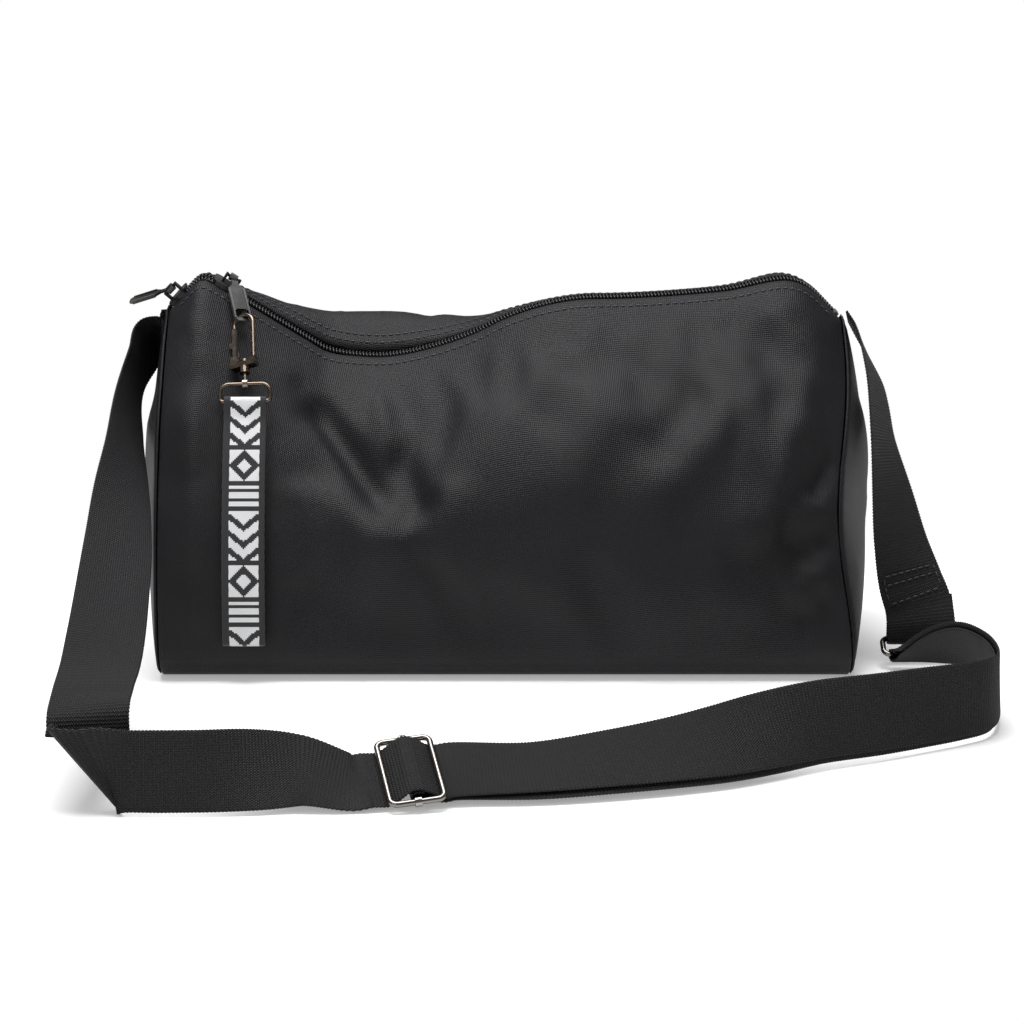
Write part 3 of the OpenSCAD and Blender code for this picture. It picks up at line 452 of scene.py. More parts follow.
@dataclass(frozen=True)
class Jacquard(Finish):
    """Two-colour woven label webbing: white figures with stepped edges in a dark field, ribbed selvedges."""

    white: str = "#e9e9ea"
    cell: float = 0.85
    half_field: float = 8.2

    def make(self) -> bpy.types.Material:
        """Returns the finished material."""
        material, tree, shader = self.start()
        lay = node(tree, "Attribute", attribute_name="lay").outputs["Vector"]
        cells = node(tree, "VectorMath", {0: lay, 1: (self.cell,) * 3}, operation="SNAP").outputs[0]
        split = node(tree, "SeparateXYZ", {0: cells})
        along, across = split.outputs[0], split.outputs[1]

        def math_node(kind: str, *values: object) -> bpy.types.NodeSocket:
            """Returns the output of a maths node with these values."""
            return node(tree, "Math", dict(enumerate(values)), operation=kind).outputs[0]

        width = math_node("ABSOLUTE", across)
        # one repeat is 62 mm: a chevron block, a stepped diamond and a row of bars
        repeat = math_node("FLOORED_MODULO", along, 62.0)
        chevron_place = math_node("FLOORED_MODULO", math_node("MULTIPLY_ADD", width, 0.8, repeat), 9.0)
        chevrons = math_node("MULTIPLY", math_node("LESS_THAN", chevron_place, 5.2),
                             math_node("LESS_THAN", repeat, 24.0))
        ring = math_node("ADD", math_node("ABSOLUTE", math_node("SUBTRACT", repeat, 35.5)), width)
        diamond = math_node("MULTIPLY", math_node("GREATER_THAN", ring, 8.4),
                            math_node("LESS_THAN", math_node("ABSOLUTE", math_node("SUBTRACT", repeat, 35.5)), 8.6))
        heart = math_node("LESS_THAN", ring, 4.0)
        bar_place = math_node("FLOORED_MODULO", repeat, 5.0)
        bars = math_node("MULTIPLY", math_node("LESS_THAN", bar_place, 2.8), math_node("GREATER_THAN", repeat, 46.5))
        figure = math_node("MAXIMUM", math_node("MAXIMUM", chevrons, diamond), math_node("MAXIMUM", heart, bars))
        figure = math_node("MULTIPLY", figure, math_node("LESS_THAN", width, self.half_field))
        fine = node(tree, "SeparateXYZ", {0: lay})
        rib = math_node("SINE", math_node("MULTIPLY", fine.outputs[0], 2 * math.pi / self.cell))
        yarn = math_node("SINE", math_node("MULTIPLY", fine.outputs[1], 2 * math.pi / (self.cell * 0.8)))
        relief = math_node("MULTIPLY_ADD", rib, yarn, math_node("MULTIPLY", figure, 1.2))
        fuzz = node(tree, "TexNoise", {"Vector": lay, "Scale": 2.2, "Detail": 3.0})
        shade = math_node("MULTIPLY_ADD", fuzz.outputs[0], 0.35, math_node("MULTIPLY_ADD", rib, 0.06, 0.72))
        white = node(tree, "Mix", {"Factor": shade, 6: linear("#c9cacd"), 7: linear(self.white)}, data_type="RGBA")
        dark = node(tree, "Mix", {"Factor": shade, 6: linear(self.colour), 7: linear("#1e1e21")}, data_type="RGBA")
        colour = node(tree, "Mix", {"Factor": figure, 6: dark.outputs[2], 7: white.outputs[2]}, data_type="RGBA")
        tree.links.new(colour.outputs[2], shader.inputs["Base Color"])
        bump = node(tree, "Bump", {"Height": relief, "Strength": 0.6, "Distance": 0.2 * MM})
        tree.links.new(bump.outputs[0], shader.inputs["Normal"])
        return material


# nylon oxford with a dull coating: nearly black, its threads catch a soft grey light.
# The real threads are about 0.5 mm apart; they are drawn at 1.6 mm so that the weave shows at arm's length
BAG_CLOTH = Cloth("nylon_oxford", "#050506", 0.52, ior=1.45, sheen=0.03, sheen_roughness=0.4,
                  sheen_colour="#b8bac4", light="#1b1b1f", thread=1.6, relief=0.15, specular=0.28)
# thin polyester lining, plain woven
LINING_CLOTH = Cloth("polyester_lining", "#1d1d20", 0.7, light="#35353a", weave=Weave.PLAIN, thread=0.8, relief=0.06)
# polypropylene webbing: duller and blacker than the cloth, ribs across it, drawn at 1.7 mm for real ones of 1.3 mm
WEBBING = Cloth("ribbed_webbing", "#050506", 0.62, ior=1.49, sheen=0.02, sheen_colour="#a8aab0", light="#19191c",
                weave=Weave.RIBBED, thread=1.7, relief=0.26, mottle=0.3, specular=0.3)
# knitted polyester zip tape
ZIP_TAPE = Cloth("zip_tape", "#060607", 0.8, light="#141416", specular=0.25, weave=Weave.PLAIN, thread=1.0,
                 relief=0.1)
# spun polyester thread
THREAD = Cloth("sewing_thread", "#1d1d20", 0.55, light="#4a4a50", weave=Weave.PLAIN, thread=0.6, relief=0.05)
# drawn nylon coil: black with a satin shine
COIL = Plastic("nylon_coil", "#0a0a0b", 0.36, ior=1.53)
# black enamel on zinc: glossy, with a bright highlight painted on its edges
BLACK_ENAMEL = Metal("black_enamel_zinc", "#060607", 0.34, metallic=0.0, ior=1.4, specular=0.35, edge_highlight_colour="#a3a19d",
                     edge_highlight_share=0.5)
# gunmetal plating on zinc: dark warm grey mirror with soft smears
GUNMETAL = Metal("gunmetal_plating", "#6f6257", 0.22, metallic=1.0, edge_highlight_colour="#c9c2ba", edge_highlight_share=0.6)
# dark nickel on the adjuster and the rings
DARK_NICKEL = Metal("dark_nickel_plating", "#77736f", 0.2, metallic=1.0, edge_highlight_colour="#cfcac4", edge_highlight_share=0.6)
# woven label webbing in black and white
TAG_WEAVE = Jacquard("jacquard_tag", "#0b0b0d", 0.75, sheen=0.15)


# ---------- the bag's driving sizes, as in the part ----------

@dataclass(frozen=True)
class BagSizes:
    """Sizes of the bag's shell and of its zip's line, in millimetres and degrees."""

    depth: float = 180
    zip_height: float = 205
    base_radius: float = 18
    front_shoulder: float = 38
    front_upright: float = 88
    front_slope: float = 42
    rear_shoulder: float = 40
    rear_upright: float = 95
    left_bulge: float = 11
    right_bulge: float = 13.5
    right_pucker: float = 9
    zip_tilt: float = 12
    zip_offset: float = -8
    zip_sag: float = 40
    flank_angle: float = -33
    lead_angle: float = 47
    sag_depth: float = 40
    sag_reach: float = 45
    end_zone: float = 150
    end_width: float = 36
    end_fall: float = -20
    pucker_from: float = 110
    trough_x: float = -72
    crest_steep: float = 52
    crest_full: float = -8
    full_zone: tuple[float, float] = (110, 45)


S = BagSizes()
TILT = math.radians(S.zip_tilt)
REAR = np.array([0, math.cos(TILT), math.sin(TILT)])
PLANE_UP = np.array([0, -math.sin(TILT), math.cos(TILT)])


def heading(angle: float) -> Array:
    """Returns the direction at an angle in the zip's plane."""
    return np.array([math.cos(math.radians(angle)), math.sin(math.radians(angle))])


class ZipLine:
    """The zip's centre line: x along the bag, v up the zip's own plane, slope in degrees."""

    left_end = np.array([-187, -11.5])
    right_end = np.array([186, -17.5])
    main_slider = np.array([-156, -0.5])

    def __init__(self) -> None:
        """Samples the line densely."""
        lead, flank = heading(S.lead_angle), heading(S.flank_angle)
        lead_top = self.left_end + 18.3 * lead
        flank_top, flank_bottom = self.main_slider - 9 * flank, self.main_slider + 63.5 * flank
        self.end_slider = self.left_end + 8 * lead
        a = np.array
        trough, rise, shelf = a([-72, -S.zip_sag]), a([-10, -22]), a([50, -5.6])
        climb, crest, shoulder = a([120, -1.2]), a([154, 5.2]), a([173, -3.8])
        segments = [
            [self.left_end, self.left_end + 6.1 * lead, self.left_end + 12.2 * lead, lead_top],
            [lead_top, lead_top + 5.5 * lead, flank_top - 5.5 * flank, flank_top],
            [flank_top, flank_top + 24.2 * flank, flank_bottom - 24.2 * flank, flank_bottom],
            [flank_bottom, flank_bottom + 5 * flank, trough - a([12, 0]), trough],
            [trough, trough + a([17, 0]), rise - a([15, 8.5]), rise],
            [rise, rise + a([14, 8]), shelf - a([22, 0]), shelf],
            [shelf, shelf + a([25, 0]), climb - a([15, 1.6]), climb],
            [climb, climb + a([12, 1.2]), crest - a([11, 0]), crest],
            [crest, crest + a([8, 0]), shoulder - a([4.5, -4.5]), shoulder],
            [shoulder, shoulder + (self.right_end - shoulder) / 3, shoulder + (self.right_end - shoulder) / 1.5,
             self.right_end]]
        t = np.linspace(0, 1, 60, endpoint=False)
        line = np.vstack([bezier(np.array(s), t) for s in segments] + [self.right_end[None]])
        self.run = np.concatenate([[0], np.cumsum(np.linalg.norm(np.diff(line, axis=0), axis=1))])
        self.length = float(self.run[-1])
        slope = np.unwrap(np.arctan2(np.gradient(line[:, 1], self.run), np.gradient(line[:, 0], self.run)))
        self.line = np.column_stack([line, np.degrees(slope)])

    def at(self, run: Array) -> Array:
        """Returns [x, v, slope] at distances along the line."""
        return np.stack([np.interp(run, self.run, self.line[:, c]) for c in range(3)], -1)

    @staticmethod
    def place(q: Array, a: Array | float, b: Array | float) -> Array:
        """Returns points a to the rear of the line and b out of the zip's surface."""
        q = np.asarray(q, float)
        base = np.stack([q[..., 0], S.zip_offset - q[..., 1] * math.sin(TILT),
                         S.zip_height + q[..., 1] * math.cos(TILT)], -1)
        a = np.asarray(a, float)[..., None] * REAR
        return base + a + np.asarray(b, float)[..., None] * ZipLine.normal(q)

    @staticmethod
    def normal(q: Array) -> Array:
        """Returns the way out of the zip's surface."""
        phi = np.radians(q[..., 2])
        out = np.cos(phi)[..., None] * PLANE_UP
        out[..., 0] -= np.sin(phi)
        return out

    @staticmethod
    def along(q: Array) -> Array:
        """Returns the direction along the zip."""
        phi = np.radians(q[..., 2])
        out = np.sin(phi)[..., None] * PLANE_UP
        out[..., 0] += np.cos(phi)
        return out


ZIP = ZipLine()


# ---------- the shell ----------

class Side(Enum):
    """Where on the bag a fold lies."""

    FRONT = "front"
    REAR = "rear"
    LEFT = "left"
    RIGHT = "right"


@dataclass(frozen=True)
class Fold:
    """A soft ridge or valley in the cloth, drawn as a line in the panel's own view."""

    side: Side
    line: tuple[tuple[float, float], ...]
    height: float
    wide: float
    narrow: float
    taper: float = 0.25

    def lift(self, u: Array, z: Array) -> Array:
        """Returns how far the cloth stands out at places u along and z up the panel."""
        pts = resample(np.array([[p[0], p[1], 0] for p in self.line]), 4.0)[0][:, :2]
        here = np.stack([u, z], -1)
        best = np.full(u.shape, 1e9)
        signed = np.zeros(u.shape)
        share = np.zeros(u.shape)
        run = np.linspace(0, 1, len(pts))
        for k in range(len(pts) - 1):
            d = pts[k + 1] - pts[k]
            t = np.clip(((here - pts[k]) @ d) / (d @ d), 0, 1)
            off = here - (pts[k] + t[..., None] * d)
            dist = np.linalg.norm(off, axis=-1)
            closer = dist < best
            best = np.where(closer, dist, best)
            signed = np.where(closer, d[0] * off[..., 1] - d[1] * off[..., 0], signed)
            share = np.where(closer, run[k] + t * (run[k + 1] - run[k]), share)
        width = np.where(signed > 0, self.wide, self.narrow)
        ends = smooth_share(share / self.taper) * smooth_share((1 - share) / self.taper)
        return self.height * np.exp(-(best / width) ** 2) * ends


FOLDS = (
    # the slack dent under the zip's trough: an arched ridge over a leaf-shaped hollow
    Fold(Side.FRONT, ((-146, 152), (-132, 163), (-112, 167), (-96, 158), (-80, 144), (-66, 134), (-48, 128)),
         6.5, 9, 13),
    Fold(Side.FRONT, ((-108, 156), (-100, 138), (-86, 120), (-72, 104), (-58, 90)), -9.5, 10, 17),
    Fold(Side.FRONT, ((-116, 152), (-108, 134), (-94, 114), (-76, 92), (-60, 76), (-46, 64)), 6.8, 8, 16),
    Fold(Side.FRONT, ((-44, 62), (-34, 74), (-30, 92), (-30, 112)), 4.6, 12, 14),
    Fold(Side.FRONT, ((-66, 124), (-52, 104), (-42, 84)), -4.9, 10, 10),
    Fold(Side.FRONT, ((-30, 150), (-12, 130), (0, 100), (4, 74)), 3.0, 22, 26),
    # the full right half: broad folds that fan out of the top corner
    Fold(Side.FRONT, ((150, 172), (128, 150), (104, 126), (78, 98), (62, 76)), 4.9, 13, 17),
    Fold(Side.FRONT, ((166, 150), (150, 120), (138, 92), (120, 66)), 4.6, 12, 14),
    Fold(Side.FRONT, ((70, 168), (54, 140), (38, 112), (26, 84)), 3.8, 16, 20),
    Fold(Side.FRONT, ((110, 160), (92, 136), (76, 110)), -4.2, 12, 12),
    Fold(Side.FRONT, ((40, 170), (30, 150), (16, 128)), -3.0, 14, 14),
    Fold(Side.FRONT, ((-170, 160), (-164, 120), (-158, 80), (-152, 50)), 2.8, 12, 16),
    Fold(Side.FRONT, ((-150, 60), (-100, 40), (-40, 34), (40, 38)), -2.7, 18, 22),
    # puckers where the right seam is drawn in
    Fold(Side.FRONT, ((178, 96), (166, 92), (150, 84)), 3.4, 5, 6),
    Fold(Side.FRONT, ((178, 78), (166, 74), (152, 62)), -3.8, 5, 6),
    Fold(Side.FRONT, ((178, 62), (164, 54), (146, 46)), 3.4, 5, 7),
    Fold(Side.FRONT, ((178, 122), (170, 110), (162, 96)), -3.0, 5, 6),
    Fold(Side.FRONT, ((178, 44), (168, 36), (152, 30)), -2.7, 5, 5),
    # the rear panel: it sinks behind the trough and hangs in long swags
    Fold(Side.REAR, ((-120, 170), (-90, 150), (-50, 146), (-10, 158), (10, 172)), -4.5, 12, 18),
    Fold(Side.REAR, ((-150, 150), (-110, 120), (-60, 108), (0, 116), (50, 140)), 4.5, 16, 20),
    Fold(Side.REAR, ((150, 165), (110, 130), (80, 90), (70, 50)), 3.9, 16, 18),
    Fold(Side.REAR, ((-160, 110), (-120, 80), (-60, 60)), -3.6, 16, 16),
    Fold(Side.REAR, ((40, 170), (60, 130), (60, 90)), -3.3, 14, 16),
    Fold(Side.REAR, ((178, 100), (160, 90), (140, 84)), 2.7, 6, 7),
    Fold(Side.REAR, ((-178, 90), (-160, 82), (-140, 80)), 2.7, 6, 7),
    # the end panels
    Fold(Side.LEFT, ((-40, 150), (-20, 110), (-14, 60)), 3.1, 12, 16),
    Fold(Side.LEFT, ((30, 150), (24, 110), (34, 60)), -2.8, 14, 14),
    Fold(Side.RIGHT, ((-44, 150), (-20, 120), (-12, 70)), 2.9, 12, 16),
    Fold(Side.RIGHT, ((36, 150), (20, 110), (30, 60)), -2.6, 14, 14),
)


def folded(side: Side, u: Array, z: Array) -> Array:
    """Returns how far all the folds on one side lift the cloth."""
    total = np.zeros(u.shape)
    for f in FOLDS:
        if f.side is side:
            total += f.lift(u, z)
    return total


class Settling:
    """A short cloth simulation: a panel that is cut a little too big finds its own wrinkles."""

    frames = 20

    def __init__(self, growth: float, cap: float) -> None:
        """Sets how much too big the cloth is, as a share, and the furthest that a point moves, in millimetres."""
        self.growth, self.cap = growth, cap

    def run(self, grid: Array, held: Array) -> Array:
        """Settles a panel.

        Args:
            grid: its points, in rows and columns.
            held: how firmly each point is held, from 0 to 1.
        Returns:
            How far each point moves.
        """
        scene = bpy.context.scene
        mesh = bpy.data.meshes.new("settling")
        mesh.from_pydata((grid.reshape(-1, 3) * MM).tolist(), [], grid_faces(*grid.shape[:2]).tolist())
        obj = bpy.data.objects.new("settling", mesh)
        scene.collection.objects.link(obj)
        group = obj.vertex_groups.new(name="held")
        for i, weight in enumerate(held.ravel()):
            group.add([i], float(weight), "REPLACE")
        cloth = obj.modifiers.new("cloth", "CLOTH")
        rules = cloth.settings
        rules.quality, rules.mass, rules.air_damping = 6, 0.25, 2.0
        rules.tension_stiffness = rules.compression_stiffness = 20.0
        rules.shear_stiffness, rules.bending_stiffness = 8.0, 0.15
        rules.vertex_group_mass, rules.pin_stiffness = "held", 1.0
        rules.use_dynamic_mesh = False
        rules.shrink_min = -self.growth
        rules.effector_weights.gravity = 0.0
        cloth.collision_settings.use_collision = False
        cloth.point_cache.frame_start, cloth.point_cache.frame_end = 1, self.frames
        for number in range(1, self.frames + 1):
            scene.frame_set(number)
        made = obj.evaluated_get(bpy.context.evaluated_depsgraph_get()).to_mesh()
        flat = np.empty(len(made.vertices) * 3, np.float32)
        made.vertices.foreach_get("co", flat)
        obj.to_mesh_clear()
        bpy.data.objects.remove(obj)
        bpy.data.meshes.remove(mesh)
        scene.frame_set(1)
        move = flat.reshape(grid.shape).astype(float) / MM - grid
        # one pass takes out the zigzag that is finer than the cloth's own wrinkles
        for axis in (0, 1):
            padded = np.concatenate([move.take([0], axis), move, move.take([-1], axis)], axis)
            n = move.shape[axis]
            move = (padded.take(range(n), axis) + 2 * move + padded.take(range(2, n + 2), axis)) / 4
        size = np.linalg.norm(move, axis=-1, keepdims=True)
        LOG.info("settled cloth: up to %.1f mm", float(size.max()))
        return move * np.minimum(1, self.cap / np.maximum(size, 1e-9))


@dataclass
class Shell:
    """The bag's cloth shell: a main panel from zip edge to zip edge and two end panels."""

    station_gap: float = 4.0
    front_steps: int = 34
    bend_steps: int = 5
    base_steps: int = 22
    rear_steps: int = 36
    edge: float = 5.4
    slider_edge: float = 6.7
    stitch_at: float = 5.2
    calm_edge: float = 6
    calm_width: float = 22
    tag_at: float = -141
    tag_zone: float = 20
    hook_path: tuple[float, float, float] = (-172, -66, 100)
    growth: float = 0.035
    cap: float = 7.0
    slider_zone: tuple[float, float] = (-192, -98)
    cloth: float = 1.4
    lining_gap: float = 3.0
    lining_wall: float = 0.5
    seam_depth: float = 2.4
    run: Array = field(init=False)
    q: Array = field(init=False)
    outer: Array = field(init=False)
    lay: Array = field(init=False)

    def __post_init__(self) -> None:
        """Works out the stations and the outer surface."""
        count = int(round(ZIP.length / self.station_gap))
        self.run = np.linspace(0, ZIP.length, count + 1)
        self.q = ZIP.at(self.run)
        self.outer, self.lay = self.surface()

    def edge_at(self, x: Array) -> Array:
        """Returns how far the cloth's edge is from the zip's centre line."""
        lo, hi = self.slider_zone
        open_share = smooth_share((x - lo + 12) / 12) * smooth_share((hi + 16 - x) / 16)
        return self.edge + (self.slider_edge - self.edge) * open_share

    def outline(self, q: Array) -> Array:
        """Returns the panel's outline across the bag at each station, as points (y, z)."""
        x, v = q[:, 0], q[:, 1]
        half, r = S.depth / 2, S.base_radius
        edge = self.edge_at(x)
        centre = np.stack([S.zip_offset - v * math.sin(TILT), S.zip_height + v * math.cos(TILT)], -1)
        rear = np.array([math.cos(TILT), math.sin(TILT)])
        slope = math.radians(S.front_slope)
        p = centre - edge[:, None] * rear
        floor_front = np.broadcast_to([-half, r], p.shape)
        front = np.stack([p, p + S.front_shoulder * np.array([-math.cos(slope), -math.sin(slope)]),
                          floor_front + [0, S.front_upright], floor_front], 1)
        sag = np.clip(-v / S.sag_depth, 0, 1)
        end = np.clip((np.abs(x) - S.end_zone) / S.end_width, 0, 1)
        full = np.where(x < S.trough_x, 0, 1 - np.clip((x - S.full_zone[0]) / S.full_zone[1], 0, 1))
        steep = sag ** np.where(x < S.trough_x, 0.9, 1.6)
        crest = (S.zip_tilt + (S.crest_full - S.zip_tilt) * full) * (1 - steep) + S.crest_steep * steep
        angle = np.radians(crest * (1 - end) + S.end_fall * end)
        p = centre + edge[:, None] * rear
        reach = (S.rear_shoulder + S.sag_reach * sag)[:, None]
        floor_rear = np.broadcast_to([half, r], p.shape)
        back = np.stack([p, p + reach * np.stack([np.cos(angle), np.sin(angle)], -1),
                         floor_rear + [0, S.rear_upright], floor_rear], 1)
        a = np.linspace(0, np.pi / 2, self.bend_steps + 1)[1:]
        bend = np.stack([-half + r - r * np.cos(a), r - r * np.sin(a)], -1)
        flat = np.stack([np.linspace(-half + r, half - r, self.base_steps + 1)[1:-1],
                         np.zeros(self.base_steps - 1)], -1)
        under = np.concatenate([bend, flat, bend[::-1] * [-1, 1]])
        many = np.broadcast_to(under, (len(q), *under.shape))
        return np.concatenate([bezier(front, np.linspace(0, 1, self.front_steps + 1)), many,
                               bezier(back, np.linspace(0, 1, self.rear_steps + 1))[:, ::-1]], 1)

    @staticmethod
    def pucker(x: Array, y: Array, z: Array) -> Array:
        """Returns how far the right end seam is drawn in."""
        share = np.clip((x - S.pucker_from) / (ZIP.right_end[0] - S.pucker_from), 0, 1) ** 2
        return (S.right_pucker * share * np.sin(np.pi * np.clip((z - 8) / 165, 0, 1)) ** 2
                * np.clip((S.depth / 2 - y) / S.depth, 0, 1))

    @staticmethod
    def normals(grid: Array, wrap: bool = False) -> Array:
        """Returns the way out of a grid of points, rows along the bag and columns round it."""
        down = np.gradient(grid, axis=0)
        if wrap:
            padded = np.concatenate([grid[:, -1:], grid, grid[:, :1]], 1)
            round_it = (padded[:, 2:] - padded[:, :-2]) / 2
        else:
            round_it = np.gradient(grid, axis=1)
        return unit(np.cross(round_it, down))

    def surface(self) -> tuple[Array, Array]:
        """Returns the panel's outer surface and its cloth distances."""
        line = self.outline(self.q)
        x = np.broadcast_to(self.q[:, :1], line.shape[:2])
        grid = np.stack([x - self.pucker(x, line[..., 0], line[..., 1]), line[..., 0], line[..., 1]], -1)
        out = self.normals(grid)
        step = np.linalg.norm(np.diff(grid, axis=1), axis=-1)
        around = np.concatenate([np.zeros((len(grid), 1)), np.cumsum(step, 1)], 1)
        lay = np.stack([np.broadcast_to(self.run[:, None], around.shape), around], -1)
        from_edge = np.minimum(around, around[:, -1:] - around)
        calm = (smooth_share((from_edge - self.calm_edge) / self.calm_width)
                * smooth_share((grid[..., 2] - self.calm_edge) / self.calm_width))
        front = folded(Side.FRONT, grid[..., 0], grid[..., 2]) * (grid[..., 1] < 0)
        rear = folded(Side.REAR, grid[..., 0], grid[..., 2]) * (grid[..., 1] > 10)
        lift = (front + rear) * calm
        # the cloth keeps off the tag and the hook that lie against it
        near = np.exp(-((grid[..., 0] - self.tag_at) / self.tag_zone) ** 2) * (grid[..., 1] < 0)
        # it also keeps low where the hook travels with the main slider
        x, z = grid[..., 0], grid[..., 2]
        left, right, low = self.hook_path
        path = smooth_share((x - left) / 10) * smooth_share((right - x) / 14) * smooth_share((z - low) / 12)
        path = path * (grid[..., 1] < 0)
        lift = np.where(lift > 0, lift * (1 - np.maximum(near, 0.85 * path)), lift)
        grid = grid + lift[..., None] * out
        from_end = np.minimum(grid[..., 0] - grid[:1, :, 0], grid[-1:, :, 0] - grid[..., 0])
        free = calm * smooth_share((from_end - 3) / 16) * (1 - 0.9 * near)
        move = Settling(self.growth, self.cap).run(grid, 1 - free) * (free[..., None] > 0)
        outward = np.clip((move * out).sum(-1), 0, None)
        grid = grid + move - (0.92 * path * outward)[..., None] * out
        # a sunk line where the panel is topstitched beside the zip
        groove = -0.6 * np.exp(-((from_edge - self.stitch_at) / 1.1) ** 2)
        grid = grid + groove[..., None] * out
        grid[..., 2] = np.maximum(grid[..., 2], 0.2)
        return grid, lay

    def end_rows(self, index: int, side: int) -> list[Array]:
        """Returns the rows that roll the panel's end in at the seam."""
        ring, out = self.outer[index], self.normals(self.outer)[index]
        rows = []
        for depth, beyond in ((0.35, 0.5), (1.1, 0.85), (self.seam_depth, 0.95)):
            row = ring - depth * out
            row[:, 0] += side * beyond
            row[:, 2] = np.maximum(row[:, 2], 0.3)
            rows.append(row)
        return rows

    def main_panel(self) -> bpy.types.Object:
        """Makes the main panel with its turned edges and its thickness."""
        rows = self.end_rows(0, -1)[::-1] + list(self.outer) + self.end_rows(-1, 1)
        lay = np.concatenate([np.repeat(self.lay[:1], 3, 0), self.lay, np.repeat(self.lay[-1:], 3, 0)])
        part = Part("main_panel_cloth")
        self.shelled(part, np.array(rows), lay)
        obj = part.make(BAG_MATERIALS["cloth"], "bag", "bag_cloth", ("main_panel",))
        return obj

    def shelled(self, part: Part, grid: Array, lay: Array) -> None:
        """Adds a cloth of the shell's thickness."""
        out = self.normals(grid)
        inner = grid - self.cloth * out
        inner[..., 2] = np.maximum(inner[..., 2], 0.9)
        both_sides(part, grid, inner, lay)

    def lining(self) -> bpy.types.Object:
        """Makes the lining inside the shell."""
        trim = 3
        grid = self.outer[1:-1, trim:-trim]
        out = self.normals(grid)
        part = Part("lining_cloth")
        both_sides(part, grid - self.lining_gap * out, grid - (self.lining_gap + self.lining_wall) * out,
                   self.lay[1:-1, trim:-trim])
        return part.make(BAG_MATERIALS["lining"], "bag", "lining_cloth",
                         ("lining", "seam_binding_left", "seam_binding_right"))

    def end_panel(self, side: int, name: str, bulge: float) -> bpy.types.Object:
        """Makes an end panel: a slack dome inside the end seam.

        Args:
            side: -1 for the left end, 1 for the right end.
            name: the CAD node that it stands for.
            bulge: how far its middle stands out.
        Returns:
            The new object.
        """
        index = 0 if side < 0 else -1
        ring, out = self.outer[index], self.normals(self.outer)[index]
        ring = ring.copy()
        flat_x = abs(self.q[index, 0])
        middle = np.array([-2.0, 92.0])
        rings = 18
        rows = []
        for depth, beyond in ((self.seam_depth, 1.2), (1.2, 1.3), (0.45, 1.7)):
            row = ring - depth * out
            row[:, 0] = ring[:, 0] + side * beyond
            row[:, 2] = np.maximum(row[:, 2], 0.3)
            rows.append(row)
        for k in range(1, rings + 1):
            r = 1 - k / rings
            yz = middle + (ring[:, 1:] - middle) * r
            x = flat_x + (np.abs(ring[:, 0]) - flat_x) * r
            reach = x + 2.4 + bulge * (1 - r * r)
            row = np.column_stack([side * reach, yz])
            kind = Side.LEFT if side < 0 else Side.RIGHT
            row[:, 0] += side * folded(kind, yz[:, 0], yz[:, 1]) * smooth_share((1 - r) / 0.3)
            rows.append(row)
        rows = rows[:-1]
        grid = np.array(rows)
        n, cols = grid.shape[:2]
        lay = np.stack([grid[..., 1], grid[..., 2]], -1)
        centre = np.array([[side * (flat_x + 2.4 + bulge), middle[0], middle[1]]])
        part = Part(name + "_cloth")
        faces = grid_faces(n, cols, wrap=True)
        fan = np.stack([(n - 1) * cols + np.arange(cols), np.full(cols, n * cols),
                        (n - 1) * cols + (np.arange(cols) + 1) % cols], -1)
        if side < 0:
            faces, fan = faces[:, ::-1], fan[:, ::-1]
        part.add(np.concatenate([grid.reshape(-1, 3), centre]), faces[:, ::-1],
                 np.concatenate([lay.reshape(-1, 2), middle[None]]))
        part.faces.append(fan[:, ::-1])
        obj = part.make(BAG_MATERIALS["cloth"], "bag", "bag_cloth", (name,))
        wall = obj.modifiers.new("wall", "SOLIDIFY")
        wall.thickness, wall.offset = self.cloth * MM, -1.0
        return obj

    def beside_zip(self, distance: float, rear: bool) -> tuple[Array, Array]:
        """Returns a line on the surface at a distance from its zip edge, and its normals."""
        out = self.normals(self.outer)
        line, normals = [], []
        for row, way, lay in zip(self.outer[2:-2], out[2:-2], self.lay[2:-2, :, 1]):
            at = lay[-1] - distance if rear else distance
            line.append([np.interp(at, lay, row[:, c]) for c in range(3)])
            normals.append([np.interp(at, lay, way[:, c]) for c in range(3)])
        return np.array(line), unit(np.array(normals))


# ---------- the zip ----------

